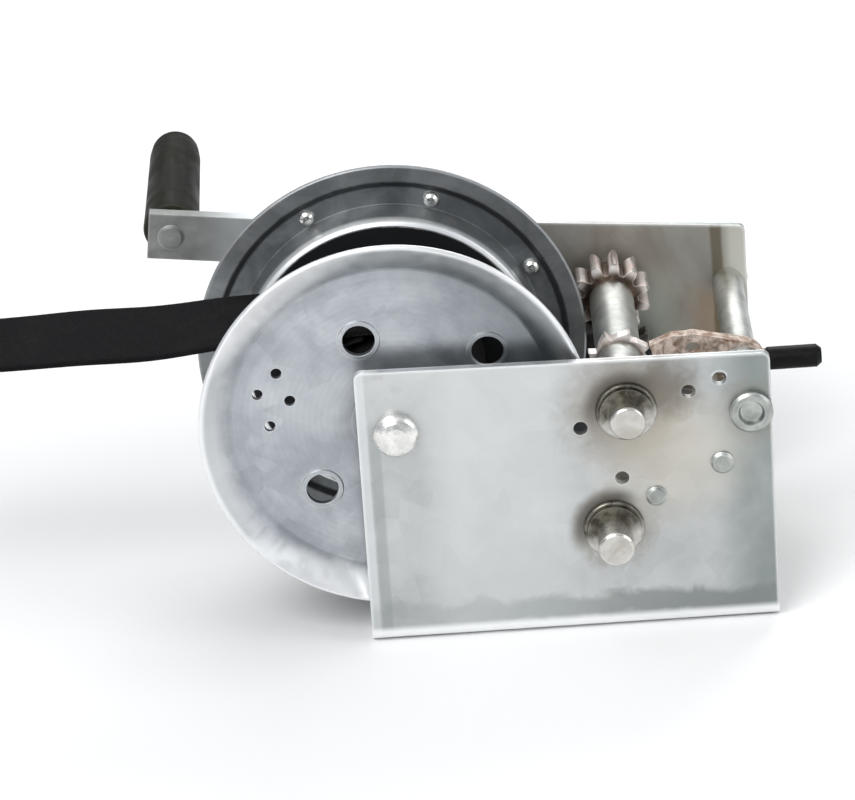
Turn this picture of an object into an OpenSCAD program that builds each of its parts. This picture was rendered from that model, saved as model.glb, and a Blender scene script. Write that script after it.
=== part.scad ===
// Two-speed hand winch for a boat trailer, with a strap drum, a ratchet and a snap hook.
// +X points to the rear, where the operator stands, -X to the boat, and +Z up.
// -Y is the plain side and +Y is the gear side, where the crank is.
// The origin is the centre of the base slots, on the base's underside.
// A "depth" is measured across the winch, from the outer face of the plain side plate.

/* [Frame] */
// Length of the frame along the pull of the strap
frame_length = 161.4; // [158:0.2:164]
// Width over both side plates
frame_width = 128; // [127:0.5:130]
// Thickness of the frame's sheet
sheet = 3.4; // [3:0.1:3.8]
// Height of the plain side plate at its front edge
plain_front_height = 118; // [112:0.5:120]
// Height of the plain side plate at its rear edge
plain_rear_height = 115.5; // [112:0.5:120]
// Height of the gear side plate at its front edge
gear_front_height = 129.5; // [124:0.5:133]
// Height of the gear side plate at its rear edge
gear_rear_height = 116; // [110:0.5:120]
// Distance between the base slots along the winch
slot_spacing_x = 96; // [80:1:104]
// Distance between the base slots across the winch
slot_spacing_y = 60; // [50:1:70]
// Width of each base slot
slot_width = 11; // [9:0.5:12]
// Length of each base slot
slot_length = 22; // [18:1:26]

/* [Drum] */
// Height of the drum's axle above the base's underside
drum_height = 91.5; // [90:0.5:96]
// Distance from the front edge of the frame to the drum's axle
drum_setback = 14.9; // [14:0.1:17]
// Radius of the plain side flange's rim
flange_r = 77; // [72:0.5:77.5]
// Outer radius of the drum's hub tube
hub_r = 19; // [18:0.5:22]
// Radius of the axle bolt
axle_r = 6.35; // [5:0.05:7]

/* [Gears] */
// Teeth of the drum gear
drum_teeth = 57; // [56:1:58]
// Teeth of the pinion that drives the drum gear
drum_pinion_teeth = 18; // [17:1:18]
// Module of all the gears
gear_module = 2.54; // [2.53:0.01:2.55]
// Teeth of the low-speed gear
low_teeth = 29; // [27:1:29]
// Teeth of the crank pinion
crank_pinion_teeth = 11; // [11:1:12]
// Pressure angle of all the gears
pressure_angle = 25; // [22:1:25]
// Play between meshed teeth, along the pitch circle
backlash = 0.3; // [0.2:0.05:0.5]
// Height of a tooth above the pitch circle, in modules
addendum = 0.9; // [0.8:0.05:1]

/* [Shafts] */
// Radius of both gear shafts
shaft_r = 7; // [6.5:0.1:7.5]
// Radial clearance of each running fit
running_gap = 0.05; // [0.02:0.01:0.09]
// Radius of the ratchet wheel's tip circle
ratchet_r = 13; // [12:0.1:13.4]
// Teeth of the ratchet wheel
ratchet_teeth = 8; // [8:1:12]

/* [Crank] */
// Distance from the crank's shaft to the grip's spindle
crank_length = 180; // [150:1:230]
// Rise of the crank arm towards the boat, in degrees
crank_rise = 7; // [0:1:12]
// Width of the crank arm
arm_width = 20; // [18:0.5:24]
// Length of the grip
grip_length = 92; // [70:1:100]

/* [Strap and hook] */
// Width of the strap
strap_width = 50; // [44:1:51]
// Thickness of the strap's webbing
strap_thick = 2.4; // [1.8:0.1:2.8]
// Outer radius of the wound strap
roll_r = 37.2; // [34:0.1:40]
// Free length from the drum to the hook's eye
strap_run_length = 206; // [120:1:400]
// Fall of the strap towards the boat, in degrees
strap_fall = 2; // [0:0.5:4]
// Thickness of the hook
hook_thick = 9; // [8:0.5:11]

/* [Hidden] */
$fn = 96;

// Ends of the frame along the winch
frame_rear = 78;
frame_front = frame_rear - frame_length;

// Axes, as [x, z]
drum_axis = [frame_front + drum_setback, drum_height];
drum_centres = gear_module * (drum_teeth + drum_pinion_teeth) / 2;
low_centres = gear_module * (low_teeth + crank_pinion_teeth) / 2;
lower_angle = -29.57;
lower_axis = drum_axis + drum_centres * [cos(lower_angle), sin(lower_angle)];
upper_angle = 82.02;
upper_axis = lower_axis + low_centres * [cos(upper_angle), sin(upper_angle)];
pawl_axis = [frame_rear - 8.1, drum_height];

// Depths across the winch
inside_near = sheet;
inside_far = frame_width - sheet;
flange_plate = 2;
outer_flange_depth = 13;
inner_flange_depth = 70;
gear_depth = 86;
gear_thick = 5.5;
hub_start = outer_flange_depth + flange_plate;
bush_lip = 1.5;
strap_start = 16.5;
pinion_start = gear_depth + 0.5;
pinion_end = gear_depth + gear_thick + 7;
low_gear_start = 108;
low_gear_end = 118;
crank_pinion_start = 106;
crank_pinion_end = 120;
ratchet_start = 45;
ratchet_thick = 5;
arm_start = 150;
arm_thick = 6;
play = 0.2;

// Frame details
bend_r = 2 * sheet;
corner_r = 3;
bushing_r = 9;
bushing_lip_r = 12;
bushing_lip = 2;
pawl_pin_r = 4.75;
loose_gap = 0.15;
pilot_r = 2.75;
pilot_holes = [[71.8, -3.1], [87, -25.6], [114.4, 9.7], [126.6, 14.4]];
plate_rivet_place = [100, -34.3];
spring_post_place = [126.4, -21.6];
post_r = 3;

// Drum details
axle_head_r = 9;
axle_head = 6.2;
axle_thread = 16;
axle_spacer_r = 12;
hub_inside_r = hub_r - 3;
flange_flat_r = flange_r - 12;
flange_rim_depth = 5.6;
flange_holes = [[37.7, 26.7], [-12, 34.9], [-30.4, -27.7], [24.7, -35.2]];
flange_hole_r = 6.35;
hole_rim_r = 8.2;
hole_rim = 0.7;
clamp_holes = [[-45, 23], [-53, 14.5], [-40.5, 11], [-49, 0.6]];
clamp_hole_r = 2.1;
inner_flat_r = 60;
inner_cone_r = 61.4;
inner_step_r = 69.5;
inner_step = 1.3;
inner_rim_r = 78.4;
rivet_count = 8;
rivet_circle = 65.4;
rivet_turn = 27.7;
rivet_r = 2.4;
rivet_head_r = 3.4;
rivet_head = 2.6;
anchor_r = 4.75;
anchor_place = [28.5 * cos(-25), 28.5 * sin(-25)];
anchor_head = 5;
anchor_hex = 15;
wrap_gap = 0.3;
wrap_inside_r = roll_r - strap_thick;
wound_r = wrap_inside_r - wrap_gap;

// Shaft details
spacer_r = 10;
upper_spacer_r = 9;
lower_stub = 20;
upper_stub = 13;
clip_r = 10.5;
clip_thick = 1.2;
drive_end = 18;
drive_flat = 5.7;
drive_flat_length = 14;
crank_hub_r = 12;
thread_r = 5.5;
edge = 0.8;

// Crank details
arm_margin = 9.5;
spindle_axis = upper_axis + crank_length * [-cos(crank_rise), sin(crank_rise)];
spindle_r = 4;
spindle_head_r = 5.6;
spindle_ring_r = 7;
grip_root_r = 11.6;
grip_tip_r = 10.2;
grip_bore_r = spindle_r + running_gap;
grip_start = arm_start + arm_thick + 1.5;
grip_end = grip_start + grip_length;
spindle_end = grip_end - 14;

// Pawl details
pawl_start = ratchet_start;
pawl_thick = ratchet_thick;
pawl_tip = upper_axis + (ratchet_r + 0.6) * [cos(27), sin(27)];
pawl_eye_r = 9;
lever_elbow = pawl_axis + [9, -0.4];
lever_end = pawl_axis + [25.6, -0.4];
lever_width = 7;
sleeve_r = 4.6;
sleeve_length = 22;
spring_wire_r = 0.8;
spring_coil_r = 7.4;

// Strap and hook details
pull = [-cos(strap_fall), -sin(strap_fall)];
pull_up = [-sin(strap_fall), cos(strap_fall)];
strap_middle_r = roll_r - strap_thick / 2;
run_start = drum_axis + strap_middle_r * pull_up;
loop_room = 34;
eye_place = run_start + strap_run_length * pull;
eye_inside = [11, 54];
eye_outside = [26, 68];
eye_bar = (eye_outside[0] - eye_inside[0]) / 2;
hook_throat_r = 15;
hook_outside_r = 26;
hook_middle = [-68, 0];
neck_width = 15;
latch_pivot = [-38, 9];
latch_rivet_r = 2;
latch_sheet = 1.5;
latch_gap = 1.9;
latch_end = [-77, 21.5];

// Helpers ---------------------------------------------------------------------------------

function depth(d) = d - frame_width / 2;
function polar(r, a) = [r * cos(a), r * sin(a)];
function rivet_place(k) = drum_axis + polar(rivet_circle, rivet_turn + 360 * k / rivet_count);

// A rod across the winch, from one depth to another
module rod(at, d0, d1, r)
{
    translate([at[0], depth(d0), at[1]]) rotate([-90, 0, 0]) cylinder(h = d1 - d0, r = r);
}

// A tube across the winch
module tube(at, d0, d1, outside, inside)
{
    difference()
    {
        rod(at, d0, d1, outside);
        rod(at, d0 - 1, d1 + 1, inside);
    }
}

// A solid turned about an axis across the winch, from a profile of [radius, depth] points
module turned(at, profile)
{
    translate([at[0], depth(0), at[1]]) rotate([-90, 0, 0]) rotate_extrude() polygon(profile);
}

// A rod across the winch with both ends chamfered
module chamfered_rod(at, d0, d1, r, c)
{
    turned(at, [[0, d0], [r - c, d0], [r, d0 + c], [r, d1 - c], [r - c, d1], [0, d1]]);
}

// A flat outline in the X-Z plane, made thick across the winch
module sheet_across(at, d, thick)
{
    translate([at[0], depth(d + thick), at[1]]) rotate([90, 0, 0]) linear_extrude(thick) children();
}

// A bar with two round ends, of different radii if need be
module link(p, rp, q, rq)
{
    span = norm(q - p);
    along = atan2(q[1] - p[1], q[0] - p[0]);
    tilt = acos((rp - rq) / span);
    translate(p) circle(rp);
    translate(q) circle(rq);
    polygon([
        p + polar(rp, along + tilt), p + polar(rp, along - tilt),
        q + polar(rq, along - tilt), q + polar(rq, along + tilt)
    ]);
}

// Involute of an angle, in degrees
function involute(a) = tan(a) * 180 / PI - a;

// Half of a tooth's width at radius r, as an angle
function half_tooth(m, n, r) =
    90 / n - backlash / (m * n) * 90 / PI + involute(pressure_angle)
    - involute(acos(min(1, m * n / 2 * cos(pressure_angle) / r)));

// Outline of a spur gear, with a tooth centred on the angle turn
module gear_outline(m, n, turn)
{
    tip = m * (n / 2 + addendum);
    root = m * (n / 2 - addendum - 0.25);
    first = max(root + 0.2, m * n / 2 * cos(pressure_angle));
    steps = 4;
    flank = [for (i = [0:steps]) first + (tip - first) * i / steps];
    foot = half_tooth(m, n, first);
    foot_end = foot + 0.4 * (180 / n - foot);
    polygon([
        for (k = [0:n - 1]) let (middle = turn + 360 * k / n) each [
            polar(root, middle - foot_end),
            for (r = flank) polar(r, middle - half_tooth(m, n, r)),
            for (i = [steps:-1:0]) polar(flank[i], middle + half_tooth(m, n, flank[i])),
            polar(root, middle + foot_end)
        ]
    ]);
}

// A round wire bent along points, with rings that keep level with the axis
module wire(points, r, axis, sides)
{
    last = len(points) - 1;
    rings = [
        for (i = [0:last])
            let (t = points[min(i + 1, last)] - points[max(i - 1, 0)])
            let (side = cross(t, axis) / norm(cross(t, axis)))
            let (up = cross(side, t) / norm(t))
            for (k = [0:sides - 1]) let (a = 360 * k / sides) points[i] + r * (cos(a) * side + sin(a) * up)
    ];
    walls = [
        for (i = [0:last - 1], k = [0:sides - 1])
            let (a = i * sides + k, b = i * sides + (k + 1) % sides)
            each [[a, a + sides, b + sides], [a, b + sides, b]]
    ];
    start = [for (k = [0:sides - 1]) k];
    end = [for (k = [sides - 1:-1:0]) last * sides + k];
    polyhedron(rings, concat(walls, [start, end]));
}

// A snap ring or washer shape across the winch
module ring(at, d, thick, outside, inside)
{
    tube(at, d, d + thick, outside, inside);
}

// A hexagon nut or head across the winch, with its corners turned down
module hexagon(at, d0, d1, across_flats)
{
    corner = across_flats / sqrt(3);
    c = 0.09 * across_flats;
    intersection()
    {
        translate([at[0], depth(d0), at[1]]) rotate([-90, 0, 0]) cylinder(h = d1 - d0, r = corner, $fn = 6);
        turned(at, [
            [0, d0], [corner - c, d0], [corner, d0 + c * 0.6],
            [corner, d1 - c * 0.6], [corner - c, d1], [0, d1]
        ]);
    }
}

// Frame -----------------------------------------------------------------------------------

// Cross-section of the bent channel, in the Y-Z plane
module channel_section()
{
    top = max(gear_front_height, plain_front_height) + 1;
    difference()
    {
        rounded_trough(frame_width / 2, 0, top, bend_r);
        rounded_trough(frame_width / 2 - sheet, sheet, top + 1, bend_r - sheet);
    }
}

module rounded_trough(half, low, top, r)
{
    translate([-half, low + r]) square([2 * half, top - low - r]);
    translate([r - half, low]) square([2 * (half - r), r + 1]);
    for (s = [-1, 1]) translate([s * (half - r), low + r]) circle(r);
}

// Outline of a side plate, whose two top corners are rounded
module plate_outline(front_height, rear_height)
{
    slope = atan2(rear_height - front_height, frame_length);
    front = [frame_front + corner_r, front_height - corner_r];
    rear = [frame_rear - corner_r, rear_height - corner_r];
    polygon([
        [frame_front, -1],
        for (a = [180:-15:90 + slope]) front + polar(corner_r, a),
        for (a = [90 + slope:-15:0]) rear + polar(corner_r, a),
        [frame_rear, rear_height - corner_r], [frame_rear, -1]
    ]);
}

module base_slots()
{
    for (sx = [-1, 1], sy = [-1, 1]) translate([sx * slot_spacing_x / 2, sy * slot_spacing_y / 2, -1])
        for (e = [-1, 1])
        {
            translate([e * (slot_length - slot_width) / 2, 0, 0])
                cylinder(h = sheet + 2, r = slot_width / 2);
            translate([-(slot_length - slot_width) / 2, -slot_width / 2, 0])
                cube([slot_length - slot_width, slot_width, sheet + 2]);
        }
}

module frame()
{
    color("gainsboro") difference()
    {
        intersection()
        {
            translate([frame_front, 0, 0]) rotate([90, 0, 90])
                linear_extrude(frame_length) channel_section();
            union()
            {
                sheet_across([0, 0], -1, frame_width / 2 + 1)
                    plate_outline(plain_front_height, plain_rear_height);
                sheet_across([0, 0], frame_width / 2, frame_width / 2 + 1)
                    plate_outline(gear_front_height, gear_rear_height);
            }
        }
        rod(drum_axis, -1, frame_width + 1, axle_r + loose_gap);
        rod(lower_axis, -1, frame_width + 1, bushing_r);
        rod(upper_axis, -1, frame_width + 1, bushing_r);
        rod(pawl_axis, -1, frame_width + 1, pawl_pin_r);
        for (p = pilot_holes) rod(drum_axis + p, -1, sheet + 1, pilot_r);
        rod(drum_axis + plate_rivet_place, -1, sheet + 1, post_r);
        rod(drum_axis + spring_post_place, -1, sheet + 1, post_r);
        base_slots();
    }
}

// A flanged bushing in each plate for each shaft, with its lip outside
module shaft_bushings()
{
    bore = shaft_r + running_gap;
    color("dimgray") for (at = [lower_axis, upper_axis])
    {
        turned(at, [
            [bore, -bushing_lip], [bushing_lip_r - 0.6, -bushing_lip], [bushing_lip_r, 0.6 - bushing_lip],
            [bushing_lip_r, 0], [bushing_r, 0], [bushing_r, sheet], [bore, sheet]
        ]);
        turned(at, [
            [bore, inside_far], [bushing_r, inside_far], [bushing_r, frame_width],
            [bushing_lip_r, frame_width], [bushing_lip_r, frame_width + bushing_lip - 0.6],
            [bushing_lip_r - 0.6, frame_width + bushing_lip],
            [bore, frame_width + bushing_lip]
        ]);
    }
}

module drum_axle_bolt()
{
    far = frame_width + axle_thread;
    color("silver") turned(drum_axis, [
        [0, -axle_head],
        for (a = [15:15:90])
            [axle_head_r * (sin(a) * 0.92 + 0.08 * a / 90), -axle_head * (0.35 + 0.65 * cos(a))],
        [axle_head_r, 0], [axle_r, 0], [axle_r, far - 1.2], [axle_r - 1.2, far], [0, far]
    ]);
}

module axle_washer()
{
    color("silver") ring(drum_axis, frame_width, 2.5, 13.5, axle_r + loose_gap);
}

module axle_nut()
{
    start = frame_width + 2.5;
    color("silver") difference()
    {
        union()
        {
            hexagon(drum_axis, start, start + 8.5, 19);
            rod(drum_axis, start + 8, start + 11, 8.2);
        }
        rod(drum_axis, start - 1, start + 13, axle_r);
    }
}

// Tubes that keep the drum in place between the side plates
module axle_spacers()
{
    color("darkgray")
    {
        tube(drum_axis, inside_near, outer_flange_depth - bush_lip - play, axle_spacer_r, axle_r + loose_gap);
        tube(
            drum_axis, gear_depth + gear_thick + bush_lip + play, inside_far,
            axle_spacer_r, axle_r + loose_gap
        );
    }
}

// Pin through both plates, with a riveted ring head on each end
module pawl_pin()
{
    head = 8.6;
    dent = 4.2;
    color("silver") turned(pawl_axis, [
        [0, -1.2], [dent, -1.2], [dent + 1, -3.4], [head - 1.2, -3.4], [head, -2.4], [head, 0],
        [pawl_pin_r, 0], [pawl_pin_r, frame_width], [head, frame_width],
        [head, frame_width + 2.4], [head - 1.2, frame_width + 3.4],
        [dent + 1, frame_width + 3.4], [dent, frame_width + 1.2], [0, frame_width + 1.2]
    ]);
}

// Tubes on each side of the pawl
module pawl_spacers()
{
    color("darkgray")
    {
        tube(pawl_axis, inside_near, pawl_start - play, 6.2, pawl_pin_r + loose_gap);
        tube(pawl_axis, pawl_start + pawl_thick + play, inside_far, 6.2, pawl_pin_r + loose_gap);
    }
}

// Torsion spring round the pawl's spacer, from its post to a leg under the pawl
module pawl_spring()
{
    turns = 5;
    pitch = 2.2;
    end_angle = 200;
    foot = depth(pawl_start - 1.6);
    centre = [pawl_axis[0], foot, pawl_axis[1]];
    post = drum_axis + spring_post_place;
    start_angle = -115;
    total = 360 * turns + end_angle - start_angle;
    coil = [
        for (i = [0:16 * turns + 8])
            let (a = start_angle + total * i / (16 * turns + 8))
            let (back = pitch * turns * (1 - i / (16 * turns + 8)))
            centre + [spring_coil_r * cos(a), -back, spring_coil_r * sin(a)]
    ];
    low_leg = [post[0] + post_r + spring_wire_r + 0.3, coil[0][1], post[1] - 3];
    high_leg = centre + [-23, 0, -4.6];
    color("slategray") wire(concat([low_leg], coil, [high_leg]), spring_wire_r, [0, 1, 0], 8);
}

// Pin in the plain side plate that holds the spring's lower leg
module spring_post()
{
    at = drum_axis + spring_post_place;
    color("silver") turned(at, [
        [0, -1.6], [post_r + 0.6, -1.6], [post_r + 1.6, -0.8], [post_r + 1.6, 0], [post_r, 0],
        [post_r, pawl_start - 8], [post_r - 0.8, pawl_start - 7.2], [0, pawl_start - 7.2]
    ]);
}

// Short rivet in the plain side plate
module plate_rivet()
{
    at = drum_axis + plate_rivet_place;
    color("silver") turned(at, [
        [0, -1.4], [post_r, -1.4], [post_r + 1.2, -0.7], [post_r + 1.2, 0], [post_r, 0],
        [post_r, sheet], [post_r + 1.2, sheet], [post_r + 1.2, sheet + 0.7],
        [post_r, sheet + 1.4], [0, sheet + 1.4]
    ]);
}

// The strap from the drum to the hook, with the outermost turn that stays tangent to it
module strap_run()
{
    color("black")
    {
        translate([run_start[0], depth(strap_start), run_start[1]])
            rotate([0, 180 - strap_fall, 0]) translate([0, 0, -strap_thick / 2])
                cube([strap_run_length - loop_room, strap_width, strap_thick]);
        sheet_across(drum_axis, strap_start, strap_width) difference()
        {
            circle(roll_r);
            circle(wrap_inside_r);
            rotate(90 + strap_fall) translate([0, 0]) square([2 * roll_r, 8]);
        }
    }
}

// Drum ------------------------------------------------------------------------------------

module outer_flange()
{
    t = flange_plate;
    near = outer_flange_depth;
    color("lightgray") difference()
    {
        union()
        {
            turned(drum_axis, [
                [hub_inside_r, near], [flange_flat_r - 1.5, near], [flange_flat_r + 0.4, near - 0.6],
                [flange_r - 1.6, flange_rim_depth], [flange_r - 0.8, flange_rim_depth - 0.1],
                [flange_r, flange_rim_depth + 0.8], [flange_r, flange_rim_depth + 1.5],
                [flange_flat_r + 1.6, near + t - 0.7], [flange_flat_r - 0.8, near + t],
                [hub_inside_r, near + t]
            ]);
            for (p = flange_holes) rod(drum_axis + p, near - hole_rim, near + 1, hole_rim_r);
        }
        for (p = flange_holes) rod(drum_axis + p, near - 2, near + t + 1, flange_hole_r);
        for (p = clamp_holes) rod(drum_axis + p, near - 1, near + t + 1, clamp_hole_r);
        rod(drum_axis + anchor_place, near - 1, near + t + 1, anchor_r + loose_gap);
    }
}

module drum_hub()
{
    color("silver") tube(drum_axis, hub_start, gear_depth, hub_r, hub_inside_r);
}

module inner_flange()
{
    t = flange_plate;
    near = inner_flange_depth;
    lip = gear_depth - t;
    rim = lip - inner_step;
    color("silver") difference()
    {
        turned(drum_axis, [
            [hub_r, near], [inner_flat_r - 2, near], [inner_flat_r - 0.6, near + 0.6],
            [inner_flat_r, near + 2], [inner_cone_r, lip],
            [inner_step_r, lip], [inner_step_r + 1.5, rim], [inner_rim_r - 0.7, rim],
            [inner_rim_r, rim + 0.7], [inner_rim_r, rim + t - 0.7], [inner_rim_r - 0.7, rim + t],
            [inner_step_r + 2.3, rim + t],
            [inner_step_r + 0.8, lip + t], [inner_cone_r - 2, lip + t],
            [inner_flat_r - 2.2, near + t], [hub_r, near + t]
        ]);
        for (k = [0:rivet_count - 1])
            rod(rivet_place(k), lip - 1, lip + t + 1, rivet_r);
        rod(drum_axis + anchor_place, near - 1, near + t + 1, anchor_r + loose_gap);
    }
}

module drum_gear()
{
    color("slategray") difference()
    {
        sheet_across(drum_axis, gear_depth, gear_thick) gear_outline(gear_module, drum_teeth, lower_angle);
        rod(drum_axis, gear_depth - 1, gear_depth + gear_thick + 1, hub_inside_r);
        for (k = [0:rivet_count - 1])
            rod(rivet_place(k), gear_depth - 1, gear_depth + gear_thick + 1, rivet_r);
    }
}

module gear_rivets()
{
    near = gear_depth - flange_plate;
    far = gear_depth + gear_thick;
    color("whitesmoke") for (k = [0:rivet_count - 1])
        turned(rivet_place(k), [
            [0, near - rivet_head], [1.6, near - rivet_head * 0.92], [2.7, near - rivet_head * 0.62],
            [rivet_head_r, near - 0.5], [rivet_head_r, near], [rivet_r, near],
            [rivet_r, far], [rivet_head_r, far], [rivet_head_r, far + 0.8],
            [rivet_head_r - 0.8, far + 1.5], [0, far + 1.5]
        ]);
}

// Plain bearings that carry the drum on its axle bolt
module drum_bushings()
{
    bore = axle_r + running_gap;
    length = 20;
    lip_r = hub_inside_r + 1.2;
    near = outer_flange_depth;
    far = gear_depth + gear_thick;
    color("ivory")
    {
        turned(drum_axis, [
            [bore, near - bush_lip], [lip_r, near - bush_lip], [lip_r, near], [hub_inside_r, near],
            [hub_inside_r, near + length], [bore, near + length]
        ]);
        turned(drum_axis, [
            [bore, far - length], [hub_inside_r, far - length], [hub_inside_r, far], [lip_r, far],
            [lip_r, far + bush_lip], [bore, far + bush_lip]
        ]);
    }
}

// Bolt that holds the sewn inner end of the strap between the flanges
module strap_anchor_bolt()
{
    at = drum_axis + anchor_place;
    near = outer_flange_depth;
    color("silver")
    {
        hexagon(at, near - anchor_head, near, anchor_hex);
        chamfered_rod(at, near - 0.5, inner_flange_depth + flange_plate + 10, anchor_r, 0.8);
    }
}

module strap_anchor_nut()
{
    at = drum_axis + anchor_place;
    start = inner_flange_depth + flange_plate;
    color("silver") difference()
    {
        hexagon(at, start, start + 7.5, anchor_hex);
        rod(at, start - 1, start + 9, anchor_r);
    }
}

// The wound strap
module strap_roll()
{
    color("black") difference()
    {
        rod(drum_axis, strap_start, strap_start + strap_width, wound_r);
        rod(drum_axis, strap_start - 1, strap_start + strap_width + 1, hub_r + 0.1);
        rod(drum_axis + anchor_place, strap_start - 1, strap_start + strap_width + 1, anchor_r + loose_gap);
    }
}

// Lower shaft -----------------------------------------------------------------------------

module lower_shaft()
{
    far = frame_width + drive_end;
    color("silver") difference()
    {
        chamfered_rod(lower_axis, -lower_stub, far, shaft_r, edge);
        translate([lower_axis[0] - shaft_r - 1, depth(far - drive_flat_length), lower_axis[1] + drive_flat])
            cube([2 * shaft_r + 2, drive_flat_length + 1, shaft_r]);
        for (d = [-bushing_lip - play - clip_thick, frame_width + bushing_lip + play])
            tube(lower_axis, d, d + clip_thick, shaft_r + 1, shaft_r - edge);
    }
}

module drum_pinion()
{
    color("rosybrown") difference()
    {
        sheet_across(lower_axis, pinion_start, pinion_end - pinion_start)
            gear_outline(gear_module, drum_pinion_teeth, lower_angle + 180 + 180 / drum_pinion_teeth);
        rod(lower_axis, pinion_start - 1, pinion_end + 1, shaft_r);
    }
}

module low_speed_gear()
{
    color("slategray") difference()
    {
        union()
        {
            sheet_across(lower_axis, low_gear_start + 1.5, low_gear_end - low_gear_start - 3)
                gear_outline(gear_module, low_teeth, upper_angle);
            rod(lower_axis, low_gear_start, low_gear_end, 15);
        }
        rod(lower_axis, low_gear_start - 1, low_gear_end + 1, shaft_r);
    }
}

module lower_spacers()
{
    spans = [
        [inside_near + play, pinion_start], [pinion_end, low_gear_start], [low_gear_end, inside_far - play]
    ];
    color("darkgray") for (s = spans) tube(lower_axis, s[0], s[1], spacer_r, shaft_r);
}

// Retaining ring, open on one side
module snap_ring(at, d)
{
    difference()
    {
        ring(at, d, clip_thick, clip_r, shaft_r - edge);
        translate([at[0] - 3.2, depth(d - 1), at[1] - clip_r - 1]) cube([6.4, clip_thick + 2, clip_r]);
    }
}

module lower_clips()
{
    color("dimgray")
    {
        snap_ring(lower_axis, -bushing_lip - play - clip_thick);
        snap_ring(lower_axis, frame_width + bushing_lip + play);
    }
}

// Upper shaft and crank -------------------------------------------------------------------

module upper_shaft()
{
    end = arm_start + arm_thick + 12;
    color("silver") difference()
    {
        turned(upper_axis, [
            [0, -upper_stub], [shaft_r - edge, -upper_stub], [shaft_r, edge - upper_stub],
            [shaft_r, arm_start - 1], [thread_r, arm_start - 1], [thread_r, end - 1],
            [thread_r - 1, end], [0, end]
        ]);
        tube(upper_axis, -bushing_lip - play - clip_thick, -bushing_lip - play, shaft_r + 1, shaft_r - edge);
    }
}

module crank_pinion()
{
    color("rosybrown") difference()
    {
        sheet_across(upper_axis, crank_pinion_start, crank_pinion_end - crank_pinion_start)
            gear_outline(gear_module, crank_pinion_teeth, upper_angle + 180 + 180 / crank_pinion_teeth);
        rod(upper_axis, crank_pinion_start - 1, crank_pinion_end + 1, shaft_r);
    }
}

// Saw teeth whose steep faces meet the pawl when the load pulls the drum round
module ratchet_wheel()
{
    root = ratchet_r - 3;
    step = 360 / ratchet_teeth;
    color("rosybrown") difference()
    {
        sheet_across(upper_axis, ratchet_start, ratchet_thick) polygon([
            for (k = [0:ratchet_teeth - 1]) each [
                polar(ratchet_r, 24 - k * step),
                polar(root, 26 - k * step - 8),
                polar(root + 0.9, 26 - (k + 0.55) * step)
            ]
        ]);
        rod(upper_axis, ratchet_start - 1, ratchet_start + ratchet_thick + 1, shaft_r);
    }
}

module upper_spacers()
{
    color("lightgray")
        for (s = [
            [inside_near + play, ratchet_start], [ratchet_start + ratchet_thick, crank_pinion_start],
            [crank_pinion_end, inside_far - play]
        ])
            tube(upper_axis, s[0], s[1], upper_spacer_r, shaft_r);
}

module upper_clip()
{
    color("dimgray") snap_ring(upper_axis, -bushing_lip - play - clip_thick);
}

// Socket that is welded to the crank arm and fits over the shaft
module crank_hub()
{
    start = frame_width + bushing_lip + play;
    color("gray") difference()
    {
        chamfered_rod(upper_axis, start, arm_start, crank_hub_r, 1);
        rod(upper_axis, start - 1, arm_start - 1, shaft_r);
        rod(upper_axis, arm_start - 2, arm_start + 1, thread_r);
    }
}

module crank_arm()
{
    color("lightgray") difference()
    {
        translate([upper_axis[0], depth(arm_start), upper_axis[1]]) rotate([0, crank_rise, 0])
        {
            translate([-crank_length - arm_margin, 0, -arm_width / 2])
                cube([crank_length + arm_margin, arm_thick, arm_width]);
            rotate([-90, 0, 0]) cylinder(h = arm_thick, r = arm_width / 2 + 3);
        }
        rod(upper_axis, arm_start - 1, arm_start + arm_thick + 1, thread_r);
        rod(spindle_axis, arm_start - 1, arm_start + arm_thick + 1, spindle_r);
    }
}

module crank_washer()
{
    start = arm_start + arm_thick;
    color("silver") ring(upper_axis, start, 1.6, 10.5, thread_r + loose_gap);
}

module crank_nut()
{
    start = arm_start + arm_thick + 1.6;
    color("silver") difference()
    {
        union()
        {
            hexagon(upper_axis, start, start + 6.8, 17);
            rod(upper_axis, start + 6.4, start + 8.8, 7.2);
        }
        rod(upper_axis, start - 1, start + 10, thread_r);
    }
}

// Pin riveted into the arm, with a shoulder inside the grip that keeps it on
module grip_spindle()
{
    near = arm_start;
    root = arm_start + arm_thick;
    color("silver") turned(spindle_axis, [
        [0, near - 0.9], [spindle_head_r - 1.4, near - 0.8], [spindle_head_r, near - 0.2],
        [spindle_head_r, near], [spindle_r, near], [spindle_r, root], [spindle_ring_r, root],
        [spindle_ring_r, root + 1.2],
        [spindle_r, root + 1.2], [spindle_r, spindle_end - 2.5], [spindle_r + 1.4, spindle_end - 2.5],
        [spindle_r + 1.4, spindle_end - 1], [spindle_r, spindle_end], [0, spindle_end]
    ]);
}

// Moulded grip, tapered to a round tip, with a deep bore for its spindle
module grip()
{
    cavity_r = spindle_r + 1.8;
    cavity = spindle_end - 3;
    round_end = grip_end - grip_tip_r;
    color("darkslategray") turned(spindle_axis, [
        [grip_bore_r, grip_start], [grip_root_r - 1.5, grip_start], [grip_root_r - 0.4, grip_start + 0.5],
        [grip_root_r, grip_start + 1.6], [grip_root_r - 0.2, grip_start + 12],
        [grip_tip_r + 0.5, round_end - 6],
        for (a = [0:10:80]) [grip_tip_r * cos(a), round_end + grip_tip_r * sin(a)],
        [0, grip_end], [0, spindle_end + 1], [cavity_r, spindle_end + 1],
        [cavity_r, cavity], [grip_bore_r, cavity]
    ]);
}

// Pawl ------------------------------------------------------------------------------------

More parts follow.
